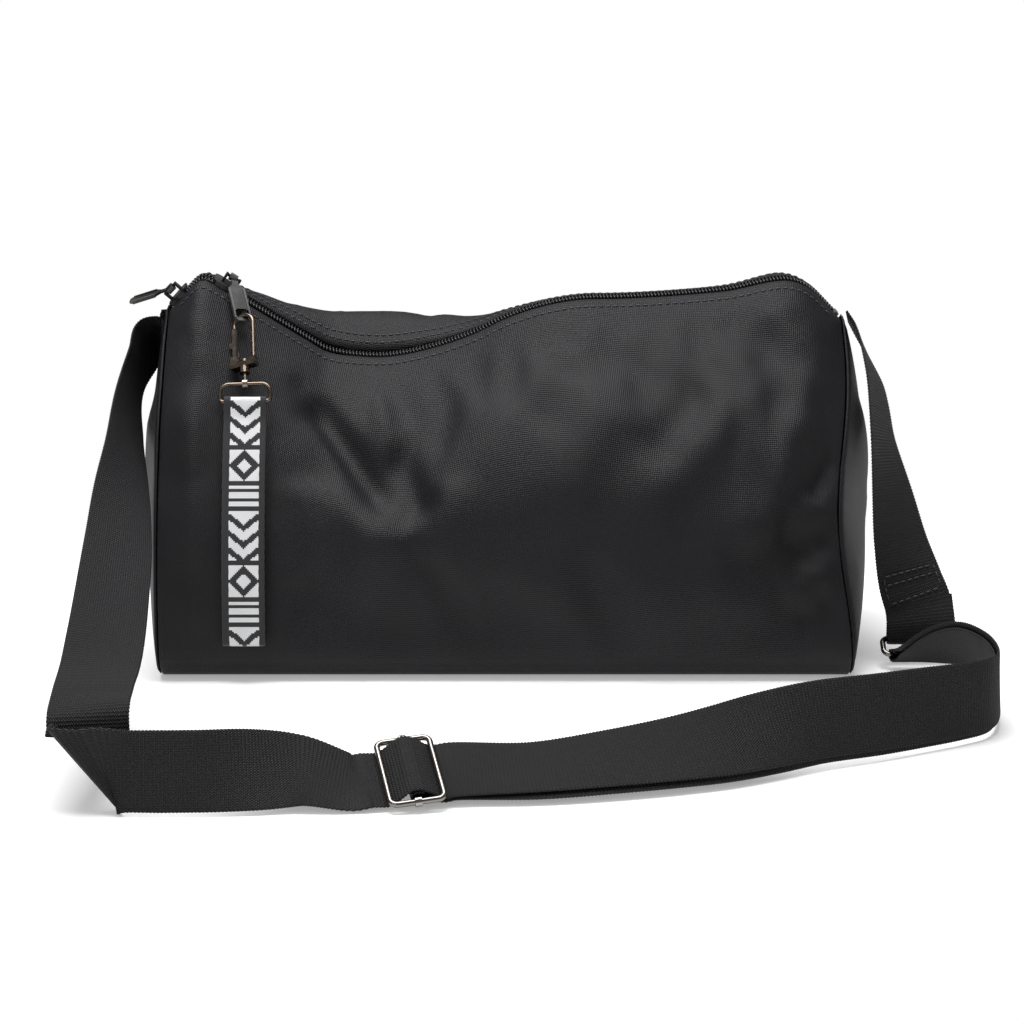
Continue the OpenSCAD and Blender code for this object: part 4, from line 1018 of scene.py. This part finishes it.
@dataclass
class Zip:
    """Tapes and coils along the zip's line."""

    tape_inner: float = 1.9
    tape_thick: float = 0.6
    coil_width: float = 2.7
    coil_low: float = -1.9
    coil_high: float = 0.9
    spread: float = 1.7
    pitch: float = 1.9
    wire: float = 0.5

    def opening(self, x: Array) -> Array:
        """Returns how far each coil is pushed aside between the two sliders."""
        lo, hi = ZIP.end_slider[0], ZIP.main_slider[0]
        return self.spread * np.clip((x - lo + 1) / 5, 0, 1) * np.clip((hi + 2 - x) / 6, 0, 1)

    def coil(self, side: int, name: str) -> bpy.types.Object:
        """Makes one flattened nylon coil whose heads mesh with the other one's."""
        start, end = 6.0, ZIP.length - 6.0
        turns = int((end - start) / self.pitch)
        per_turn = 12
        t = np.arange(turns * per_turn + 1) / per_turn + (0.5 if side > 0 else 0)
        run = start + t * self.pitch
        q = ZIP.at(run)
        phase = 2 * np.pi * t
        apart = self.opening(q[:, 0])
        reach = self.coil_width / 2 + 0.35
        middle = self.coil_width / 2 - 0.15 + apart
        a = side * (middle - reach * np.cos(phase))
        half = (self.coil_high - self.coil_low) / 2 - self.wire
        b = (self.coil_high + self.coil_low) / 2 + half * np.sin(phase)
        part = Part(name + "_wire")
        tube(part, ZIP.place(q, a, b), self.wire, 6, up=ZIP.along(q) + 0.001)
        return part.make(BAG_MATERIALS["coil"], "bag", "zip_coil", (name,))

    def tape(self, side: int, name: str) -> bpy.types.Object:
        """Makes one zip tape, from the coil to under the panel's edge."""
        run = np.linspace(0, ZIP.length, int(ZIP.length / 3))
        q = ZIP.at(run)
        across = np.array([self.tape_inner, 3.2, 4.6, 6.0, 7.6])
        dip = np.array([-1.95, -1.9, -2.0, -2.4, -2.9])
        upper = np.stack([ZIP.place(q, side * a, b) for a, b in zip(across, dip)], 1)
        lower = np.stack([ZIP.place(q, side * a, b - self.tape_thick) for a, b in zip(across, dip)], 1)
        lay = np.stack(np.broadcast_arrays(run[:, None], across[None]), -1)
        if side < 0:
            upper, lower = lower, upper
        part = Part(name + "_cloth")
        both_sides(part, upper, lower, lay)
        return part.make(BAG_MATERIALS["tape"], "bag", "zip_tape", (name,))


# ---------- straps ----------

@dataclass(frozen=True)
class Section:
    """One place along a strap: its middle, the way across it and its width as a share."""

    at: tuple[float, float, float]
    across: tuple[float, float, float]
    share: float = 1.0


def rotate_x(a: float, v: Array) -> Array:
    """Returns v turned about X by a degrees."""
    c, s = math.cos(math.radians(a)), math.sin(math.radians(a))
    return np.array([v[0], v[1] * c - v[2] * s, v[1] * s + v[2] * c])


def rotate_y(a: float, v: Array) -> Array:
    """Returns v turned about Y by a degrees."""
    c, s = math.cos(math.radians(a)), math.sin(math.radians(a))
    return np.array([v[0] * c + v[2] * s, v[1], -v[0] * s + v[2] * c])


@dataclass
class Straps:
    """The long strap with its adjuster and ring, and the short strap."""

    width: float = 38
    thick: float = 1.5
    rib: float = 1.7
    wrap_gap: float = 0.5
    wire_r: float = 1.5
    bar_r: float = 1.2
    adjuster_at: tuple[float, float, float] = (-44, -284, 13.5)
    lean: float = 66
    roll: float = -12
    side_u: float = 28 / 2 - 1.5
    ring_low: tuple[float, float, float] = (229.5, -64, 8.5)
    ring_tip: float = 32
    ring_reach: float = 12
    ring_bend: tuple = ("strap_ring", (0.215, -0.100, 0.030), (0.235, -0.066, 0.008))
    box_heights: tuple[float, float] = (52, 35)
    front_share: float = 0.74

    def adj_dir(self, v: tuple[float, float, float]) -> Array:
        """Returns a direction of the adjuster's frame in the bag's frame."""
        return rotate_x(-self.lean, rotate_y(self.roll, np.array(v, float)))

    def adj(self, u: float, n: float) -> Array:
        """Returns the point u along the strap and n out of the adjuster."""
        return np.array(self.adjuster_at) + self.adj_dir((u, -n, 0))

    @staticmethod
    def frames(points: Array, across: Array, share: Array) -> tuple[Array, Array]:
        """Squares the directions across a strap to its run.

        Args:
            points: the middles.
            across: the directions across.
            share: the width factors.
        Returns:
            The directions across, then the ways out of the strap's face.
        """
        along = np.empty_like(points)
        along[1:-1] = points[2:] - points[:-2]
        along[0], along[-1] = points[1] - points[0], points[-1] - points[-2]
        along = unit(along)
        w = unit(across)
        square = unit(w - (w * along).sum(-1, keepdims=True) * along)
        # a folded place keeps its own direction, which isn't square to the run
        keep = np.clip((share.reshape(-1, 1) - 1) / 0.15, 0, 1)
        w = unit(square * (1 - keep) + w * keep)
        return w, unit(np.cross(along, w))

    def layer(self, run: list[Section], lift: float, shift: float) -> list[Section]:
        """Returns a run moved off its line by half the gap between two layers."""
        pts = np.array([s.at for s in run], float)
        w, n = self.frames(pts, np.array([s.across for s in run], float), np.ones(len(run)))
        moved = pts - lift * n - shift * w
        return [Section(tuple(p), tuple(d)) for p, d in zip(moved, w)]

    def left_run(self) -> list[Section]:
        """Returns the long strap from the left end seam to the adjuster."""
        rows = [((-191.2, 0, 191), (0, 1, 0)), ((-193.5, -1, 184), (0.1, 1, 0)),
                ((-200, -7, 174), (0.35, 0.9, -0.3)), ((-205.5, -20, 160), (0.12, 0.9, -0.4)),
                ((-205.5, -50, 140), (0.28, 0.62, -0.73)), ((-202, -85, 121), (0.5, 0.48, -0.72)),
                ((-200, -115, 105), (0.71, 0.33, -0.62)), ((-197, -150, 90), (0.83, 0.22, -0.5)),
                ((-195, -180, 78), (0.89, 0.18, -0.4)), ((-193, -215, 64), (0.95, 0.1, -0.3)),
                ((-192, -245, 53), (1, 0, -0.1)), ((-191, -272, 49), (1, 0, 0)), ((-190, -293, 43), (1, 0, 0)),
                ((-189.5, -299, 20.8), (0.62, 0, -0.78), 1.34), ((-190.5, -302.5, 20.2), (0.62, 0, -0.78), 1.35),
                ((-189.5, -306, 20.8), (0.62, 0, -0.78), 1.34), ((-168, -306, 20.2), (0, -0.15, -1)),
                ((-140, -305, 20), (0, -0.2, -0.98)),
                ((-115, -299, 18.8), (0.08, -0.45, -0.9)), ((-94, -291, 16), (0.16, -0.7, -0.68)),
                (tuple(self.adj(-27, -2)), (0.2, -0.86, -0.45)), (tuple(self.adj(-20, -2.2)), tuple(self.down()))]
        return [Section(*r) for r in rows]

    def down(self) -> Array:
        """Returns the way down across the adjuster."""
        return self.adj_dir((0, 0, -1))

    def threaded(self) -> list[Section]:
        """Returns the run behind the side bars and over the centre bar."""
        n = self.wire_r + self.thick / 2 + self.wrap_gap + 0.2
        over = self.bar_r + self.wrap_gap + self.thick / 2 + self.thick + 0.45
        places = ((-self.side_u, -n), (-6, 1.4), (-2, over), (2, over), (6, 1.8), (self.side_u, -n), (20, -n))
        return [Section(tuple(self.adj(u, h)), tuple(self.down())) for u, h in places]

    def doubled(self) -> list[Section]:
        """Returns the line between the two layers from the adjuster to the ring."""
        rows = [((14, -276, 10.5), (0.12, -0.93, -0.34)), ((50, -270, 12.8), (0.1, -0.89, -0.44)),
                ((80, -263, 15), (0.08, -0.82, -0.56)), ((102, -257, 17.2), (0.06, -0.72, -0.69)),
                ((125, -248, 19.7), (0.03, -0.55, -0.83)), ((150, -236, 21.3), (0, -0.35, -0.94)),
                ((181, -223, 21.3), (0, -0.25, -0.97)), ((206, -211, 21.3), (0, -0.15, -0.99)),
                ((226, -201, 21.3), (0, -0.05, -1)), ((241, -190, 21.3), (0, 0, -1)),
                ((248, -172, 21.3), (0.05, 0, -1)), ((249, -150, 23.5), (0.2, 0, -1)),
                ((246, -128, 24.5), (0.45, 0, -0.9)), ((241, -108, 21), (0.7, 0, -0.7)),
                ((236, -92, 16), (0.9, 0, -0.42)), ((232, -80, 11.5), (1, 0, -0.15))]
        return [Section(*r) for r in rows]

    def long_sections(self) -> list[Section]:
        """Returns the whole long strap, from the left seam round to its end on the centre bar."""
        gap = self.thick + 0.7
        turn = self.wire_r + self.wrap_gap + self.thick / 2
        low = np.array(self.ring_low, float)
        ring = [Section(tuple(low + turn * np.array([0, math.sin(a), math.cos(a)])), (1, 0, 0))
                for a in np.radians([0, 45, 90, 135, 180])]
        wrap = self.bar_r + self.wrap_gap + self.thick / 2
        n = self.wire_r + self.thick / 2 + self.wrap_gap + 0.2 + gap
        ends = [(20, -n), (self.side_u, -n), (6.5, -3.4), (2.2, -wrap - 0.15)]
        ends += [(wrap * math.cos(a), wrap * math.sin(a)) for a in np.radians([270, 225, 180, 135, 90])]
        ends += [(3.6, wrap - 0.2)]
        tail = [Section(tuple(self.adj(u, h)), tuple(self.down())) for u, h in ends]
        return (self.left_run() + self.threaded() + self.layer(self.doubled(), gap / 2, 2)
                + [Section(tuple(low + [1.5, -8, turn + 0.2]), (1, 0, -0.05))] + ring
                + [Section(tuple(low + [1.5, -8, -turn + 1.0]), (1, 0, -0.05))]
                + self.layer(self.doubled(), -gap / 2, -0.5)[::-1] + tail)

    def short_sections(self) -> list[Section]:
        """Returns the short strap from the right end seam, round the ring and back."""
        up = np.array([0, math.cos(math.radians(self.ring_tip)), math.sin(math.radians(self.ring_tip))])
        high = np.array(self.ring_low, float) + self.ring_reach * up
        loop = self.wire_r + self.wrap_gap + self.thick / 2
        rows = [((191.5, 0, 187), (0, 1, 0)), ((195.5, -3, 180), (0, 1, 0)), ((200, -8, 170), (0.1, 1, 0)),
                ((205, -16, 155), (0.27, 0.95, 0)), ((207, -21, 143), (0.37, 0.93, 0)),
                ((209, -29, 123), (0.45, 0.9, 0)), ((214.5, -38, 90), (0.7, 0.7, 0)),
                ((218.5, -45, 66), (0.87, 0.5, 0)),
                ((223.5, -50, 46), (0.98, 0.2, 0)), ((227.5, -53, 34), (1, 0.05, 0)),
                ((229, high[1] - loop, 24), (1, 0, 0))]
        rows += [(tuple(high + loop * np.array([0, math.sin(a), math.cos(a)])), (1, 0, 0))
                 for a in np.radians([270, 225, 180, 135, 90])]
        rows += [((229, high[1] + 0.6, 26), (1, 0, 0)), ((228, -49.8, 38), (1, 0.05, 0))]
        return [Section(*r) for r in rows]

    def box_stitch(self, stitching: Stitching, part: Part, line: Array, across: Array, out: Array) -> None:
        """Sews the box and the hem that close the short strap's loop above the ring."""
        heights = line[:int(self.front_share * len(line)), 2]
        high, low = (int(np.argmin(np.abs(heights - z))) for z in self.box_heights)
        face = self.thick / 2 + 0.15
        sign = -np.sign(out[high, 1])
        half = self.width / 2 - 3.5
        for i in (high, high + (low - high) // 3, low):
            s = np.linspace(-half, half, 14)
            stitching.sew(part, line[i] + s[:, None] * across[i] + sign * face * out[i],
                          np.repeat(sign * out[i][None], 14, 0))
        for s in (-half, half):
            span = slice(high, low)
            stitching.sew(part, line[span] + s * across[span] + sign * face * out[span], sign * out[span])

    def webbing(self, name: str, sections: list[Section], node_name: str, bend: tuple | None = None
                ) -> tuple[Array, Array, Array]:
        """Makes a ribbed strap with a scalloped edge.

        Args:
            name: the object's name.
            sections: the places along it.
            node_name: the CAD node that it stands for.
            bend: if given, the strap is fixed in the world instead of riding on the bag; its values are not read.
        Returns:
            Its middles, the directions across and the ways out.
        """
        pts = np.array([s.at for s in sections], float)
        share = np.array([s.share for s in sections], float)
        w, _ = self.frames(pts, np.array([s.across for s in sections], float), share)
        line, across, run = resample(pts, self.rib / 4, w * share[:, None])
        width = np.clip(np.linalg.norm(across, axis=-1, keepdims=True), 1.0, None)
        across, out = self.frames(line, across, width[:, 0])
        ribs = np.cos(2 * np.pi * run / self.rib)
        cols = np.array([-1, -0.965, -0.9, -0.6, -0.3, 0, 0.3, 0.6, 0.9, 0.965, 1.0])
        crown = np.array([0.45, 0.85, 1, 1, 1, 1, 1, 1, 1, 0.85, 0.45])
        half = self.width / 2 * width[:, 0] * (1 - 0.006 * (1 - ribs)) - 0.15
        place = line[:, None] + (cols[None, :] * half[:, None])[..., None] * across[:, None]
        height = (self.thick / 2 - 0.16) * crown[None] + 0.14 * ribs[:, None]
        lay = np.stack(np.broadcast_arrays(run[:, None], cols[None] * self.width / 2), -1)
        part = Part(name)
        both_sides(part, place - height[..., None] * out[:, None], place + height[..., None] * out[:, None], lay)
        obj = part.make(BAG_MATERIALS["webbing"], "bag", "webbing", (node_name,), bend)
        LOG.info("%s: %.0f mm of webbing", name, run[-1])
        return line, across, out


# ---------- the tag ----------

@dataclass
class Tag:
    """The woven tag: one length of webbing doubled over the ring."""

    width: float = 23
    thick: float = 3.2
    clearance: float = 1.6
    drop: float = 7
    bar: tuple[float, float, float] = (-141.13, -60.07, 148.95)
    hung_x: float = -141.478
    loop_r: float = 1.4
    low: float = 21

    def path(self) -> Array:
        """Returns the tag's middle line from the ring's bar down the panel, as (y, z)."""
        x = self.hung_x - self.width / 2
        v = ZIP.main_slider[1] + (x - ZIP.main_slider[0]) * math.tan(math.radians(S.flank_angle))
        centre = np.array([S.zip_offset - v * math.sin(TILT), S.zip_height + v * math.cos(TILT)])
        p = centre - 7.2 * np.array([math.cos(TILT), math.sin(TILT)])
        slope = math.radians(S.front_slope)
        ctrl = np.array([p, p + S.front_shoulder * np.array([-math.cos(slope), -math.sin(slope)]),
                         [-S.depth / 2, S.base_radius + S.front_upright], [-S.depth / 2, S.base_radius]])
        line = bezier(ctrl, np.linspace(0, 1, 60))
        u = unit(np.gradient(line, axis=0))
        side = line - (self.clearance + self.thick / 2) * np.stack([-u[:, 1], u[:, 0]], -1)
        keep = side[(side[:, 1] < self.bar[2] - self.drop - 2) & (side[:, 1] > self.low)]
        return np.vstack([[self.bar[1], self.bar[2]], keep])

    def make(self) -> bpy.types.Object:
        """Makes the doubled webbing as one closed loop with a thickness."""
        line = self.path()
        flat = np.column_stack([line[:, 0] * 0, line])
        mid, run = resample(flat, 1.2)
        t = unit(np.gradient(mid, axis=0))
        n = np.column_stack([t[:, 0], -t[:, 2], t[:, 1]])
        n = np.where(n[:, 1:2] > 0, -n, n)
        half = self.thick / 2 - 0.75
        open_up = self.loop_r + 0.65
        gap = half + (open_up - half) * np.exp(-(run / 5.5) ** 2)
        front = mid + gap[:, None] * n
        back = mid - gap[:, None] * n
        top_dir = -t[0]
        arc = [mid[0] + open_up * (math.cos(a) * n[0] + math.sin(a) * top_dir)
               for a in np.linspace(0, np.pi, 11)[1:-1]]
        bottom = mid[-1] + half * t[-1] * 1.1
        loop = np.vstack([front[::-1], arc, back])
        side_along = np.concatenate([run[::-1] * -1, np.linspace(0, 6, len(arc) + 2)[1:-1], 6 + run])
        loop = np.vstack([bottom, loop, bottom])
        side_along = np.concatenate([[side_along[0] - 1], side_along, [side_along[-1] + 1]])
        tangent = unit(np.gradient(loop, axis=0))
        tangent[-1] = unit(back[-1] - front[-1])
        tangent[0] = -tangent[-1]
        out = np.column_stack([tangent[:, 0], -tangent[:, 2], tangent[:, 1]])
        cols = np.array([-1, -0.95, -0.85, -0.4, 0, 0.4, 0.85, 0.95, 1.0])
        crown = np.array([0.4, 0.8, 1, 1, 1, 1, 1, 0.8, 0.4])
        thick = 0.62
        scallop = 0.12 * np.cos(2 * np.pi * side_along / 1.6)
        x = self.bar[0] + cols[None] * (self.width / 2 + scallop[:, None] - 0.12)
        place = np.stack([x, np.broadcast_to(loop[:, 1:2], x.shape), np.broadcast_to(loop[:, 2:3], x.shape)], -1)
        lay = np.stack(np.broadcast_arrays(-side_along[:, None], cols[None] * self.width / 2), -1)
        h = (thick * crown)[None, :, None] * out[:, None]
        part = Part("key_tag")
        both_sides(part, place - h, place + h, lay)
        obj = part.make(BAG_MATERIALS["tag"], "tag", "tag_webbing", ("tag_webbing",))
        return obj


# ---------- the CAD's metal parts ----------

def dress(name: str, material: bpy.types.Material, bevel: float) -> None:
    """Gives a CAD node its finish and softens its edges.

    Args:
        name: the node.
        material: its finish.
        bevel: width of the rounded edges, in millimetres, or 0.
    """
    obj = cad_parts[name]
    obj.data.materials.clear()
    obj.data.materials.append(material)
    obj.data.polygons.foreach_set("use_smooth", np.ones(len(obj.data.polygons), bool))
    obj.data.set_sharp_from_angle(angle=math.radians(35))
    if bevel:
        edge = obj.modifiers.new("edge", "BEVEL")
        edge.width, edge.segments, edge.limit_method = bevel * MM, 2, "ANGLE"
        edge.angle_limit = math.radians(35)
        edge.harden_normals = True


BAG_MATERIALS: dict[str, bpy.types.Material] = {}


def make_materials() -> None:
    """Makes every finish once."""
    finishes = {"cloth": BAG_CLOTH, "lining": LINING_CLOTH, "webbing": WEBBING, "tape": ZIP_TAPE, "thread": THREAD,
                "coil": COIL, "enamel": BLACK_ENAMEL, "gunmetal": GUNMETAL, "nickel": DARK_NICKEL, "tag": TAG_WEAVE}
    for key, finish in finishes.items():
        BAG_MATERIALS[key] = finish.make()


# ---------- stage ----------

@dataclass
class Stage:
    """Camera, floor, lamps and world."""

    lens: float = 85
    camera_at: tuple[float, float, float] = (3, -1349.8, 361.9)
    target: tuple[float, float, float] = (3, 0, 75)

    def camera(self) -> None:
        """Makes the camera at the viewing angle of a catalogue picture."""
        data = bpy.data.cameras.new("camera")
        data.lens, data.sensor_width, data.sensor_height, data.sensor_fit = self.lens, 36, 36, "AUTO"
        data.clip_end = 20
        obj = bpy.data.objects.new("camera", data)
        obj.location = Vector(self.camera_at) * MM
        obj.rotation_euler = (Vector(self.target) - Vector(self.camera_at)).to_track_quat("-Z", "Y").to_euler()
        bpy.context.scene.collection.objects.link(obj)
        bpy.context.scene.camera = obj

    def floor(self) -> None:
        """Makes the pale floor that keeps the bag's shadow."""
        part_mesh = bpy.data.meshes.new("floor")
        half = 6.0
        part_mesh.from_pydata([(-half, -half, -0.0004), (half, -half, -0.0004), (half, half, -0.0004),
                               (-half, half, -0.0004)], [], [(0, 1, 2, 3)])
        material = bpy.data.materials.new("white_paper_floor")
        material.use_nodes = True
        tree = material.node_tree
        tree.nodes.clear()
        paper = node(tree, "BsdfDiffuse", {"Color": (0.86, 0.86, 0.86, 1), "Roughness": 0.4})
        glow = node(tree, "Emission", {"Color": (1, 1, 1, 1), "Strength": 0.3})
        path = node(tree, "LightPath")
        seen = node(tree, "Math", {0: path.outputs["Is Camera Ray"], 1: path.outputs["Is Glossy Ray"]},
                    operation="MAXIMUM")
        seen = node(tree, "Math", {0: seen.outputs[0], 1: path.outputs["Is Transmission Ray"]}, operation="MAXIMUM")
        black = node(tree, "Emission", {"Color": (0, 0, 0, 1), "Strength": 0.0})
        extra = node(tree, "MixShader", {0: seen.outputs[0], 1: black.outputs[0], 2: glow.outputs[0]})
        both = node(tree, "AddShader", {0: paper.outputs[0], 1: extra.outputs[0]})
        # the floor turns into the plain white backdrop a hand's width away from the bag and its strap
        place = node(tree, "TexCoord").outputs["Object"]
        ring = node(tree, "Mapping", {"Vector": place, "Location": (0.0, 0.36, 0), "Scale": (3.0, 3.6, 0)})
        far = node(tree, "VectorMath", {0: ring.outputs[0]}, operation="LENGTH").outputs["Value"]
        far = node(tree, "MapRange", {0: far, 1: 0.95, 2: 1.75, 3: 0.0, 4: 1.0}, interpolation_type="SMOOTHSTEP")
        far = node(tree, "Math", {0: far.outputs[0], 1: seen.outputs[0]}, operation="MULTIPLY")
        white = node(tree, "Emission", {"Color": (1, 1, 1, 1), "Strength": 1.0})
        paper_out = node(tree, "MixShader", {0: far.outputs[0], 1: both.outputs[0], 2: white.outputs[0]})
        node(tree, "OutputMaterial", {0: paper_out.outputs[0]})
        part_mesh.materials.append(material)
        obj = bpy.data.objects.new("floor", part_mesh)
        bpy.context.scene.collection.objects.link(obj)

    def lamp(self, name: str, at: tuple[float, float, float], aim: tuple[float, float, float], size: float,
             power: float) -> None:
        """Makes a soft square lamp."""
        data = bpy.data.lights.new(name, "AREA")
        data.size, data.energy = size, power
        obj = bpy.data.objects.new(name, data)
        obj.location = at
        obj.rotation_euler = (Vector(aim) - Vector(at)).to_track_quat("-Z", "Y").to_euler()
        bpy.context.scene.collection.objects.link(obj)

    def world(self) -> None:
        """Makes an even white surround: dim for light, white where it is seen."""
        world = bpy.data.worlds.new("studio")
        bpy.context.scene.world = world
        world.use_nodes = True
        tree = world.node_tree
        tree.nodes.clear()
        path = node(tree, "LightPath")
        seen = node(tree, "Math", {0: path.outputs["Is Camera Ray"], 1: path.outputs["Is Transmission Ray"]},
                    operation="MAXIMUM")
        strength = node(tree, "MapRange", {0: seen.outputs[0], 3: 0.24, 4: 1.0})
        sky = node(tree, "Background", {"Color": (1, 1, 1, 1), "Strength": strength.outputs[0]})
        node(tree, "OutputWorld", {0: sky.outputs[0]})

    def make(self) -> None:
        """Makes the whole stage."""
        self.floor()
        self.world()
        self.lamp("top_softbox", (-0.15, -0.05, 1.5), (0, -0.05, 0.1), 1.1, 36)
        self.lamp("front_fill", (-0.9, -1.6, 0.9), (0, 0, 0.1), 1.0, 4)
        scene = bpy.context.scene
        scene.view_settings.view_transform = "Standard"


# ---------- everything in order ----------

def main() -> None:
    """Builds the bag piece by piece and reports each piece."""
    logging.basicConfig(level=logging.INFO, format="%(name)s: %(message)s")
    stage = Stage()
    stage.camera()
    make_materials()
    shell = Shell()
    shell.main_panel()
    shell.lining()
    shell.end_panel(-1, "end_panel_left", S.left_bulge)
    shell.end_panel(1, "end_panel_right", S.right_bulge)
    teeth = Zip()
    for side, name in ((-1, "front"), (1, "rear")):
        teeth.tape(side, "zip_tape_" + name)
        teeth.coil(side, "zip_coil_" + name)
    thread = Part("topstitching")
    stitching = Stitching()
    for distance, rear in ((shell.stitch_at, False), (shell.stitch_at, True), (shell.stitch_at + 5, True)):
        stitching.sew(thread, *shell.beside_zip(distance, rear))
    straps = Straps()
    straps.webbing("long_strap", straps.long_sections(), "shoulder_strap", straps.ring_bend)
    line, across, out = straps.webbing("ring_strap", straps.short_sections(), "short_strap")
    straps.box_stitch(stitching, thread, line, across, out)
    thread.make(BAG_MATERIALS["thread"], "bag", "bag_cloth")
    Tag().make()
    for name in ("main_slider", "end_slider", "main_puller", "end_puller", "zip_end_stops"):
        dress(name, BAG_MATERIALS["enamel"], 0.25)
    for name in ("snap_hook", "hook_gate", "gate_pin", "gate_spring", "hook_swivel", "tag_ring"):
        dress(name, BAG_MATERIALS["gunmetal"], 0.2 if name in ("snap_hook", "hook_gate", "hook_swivel") else 0)
    for name in ("strap_ring", "adjuster_frame", "adjuster_bar"):
        dress(name, BAG_MATERIALS["nickel"], 0)
    stage.make()
    LOG.info("all pieces made")


if __name__ == "__main__":
    main()
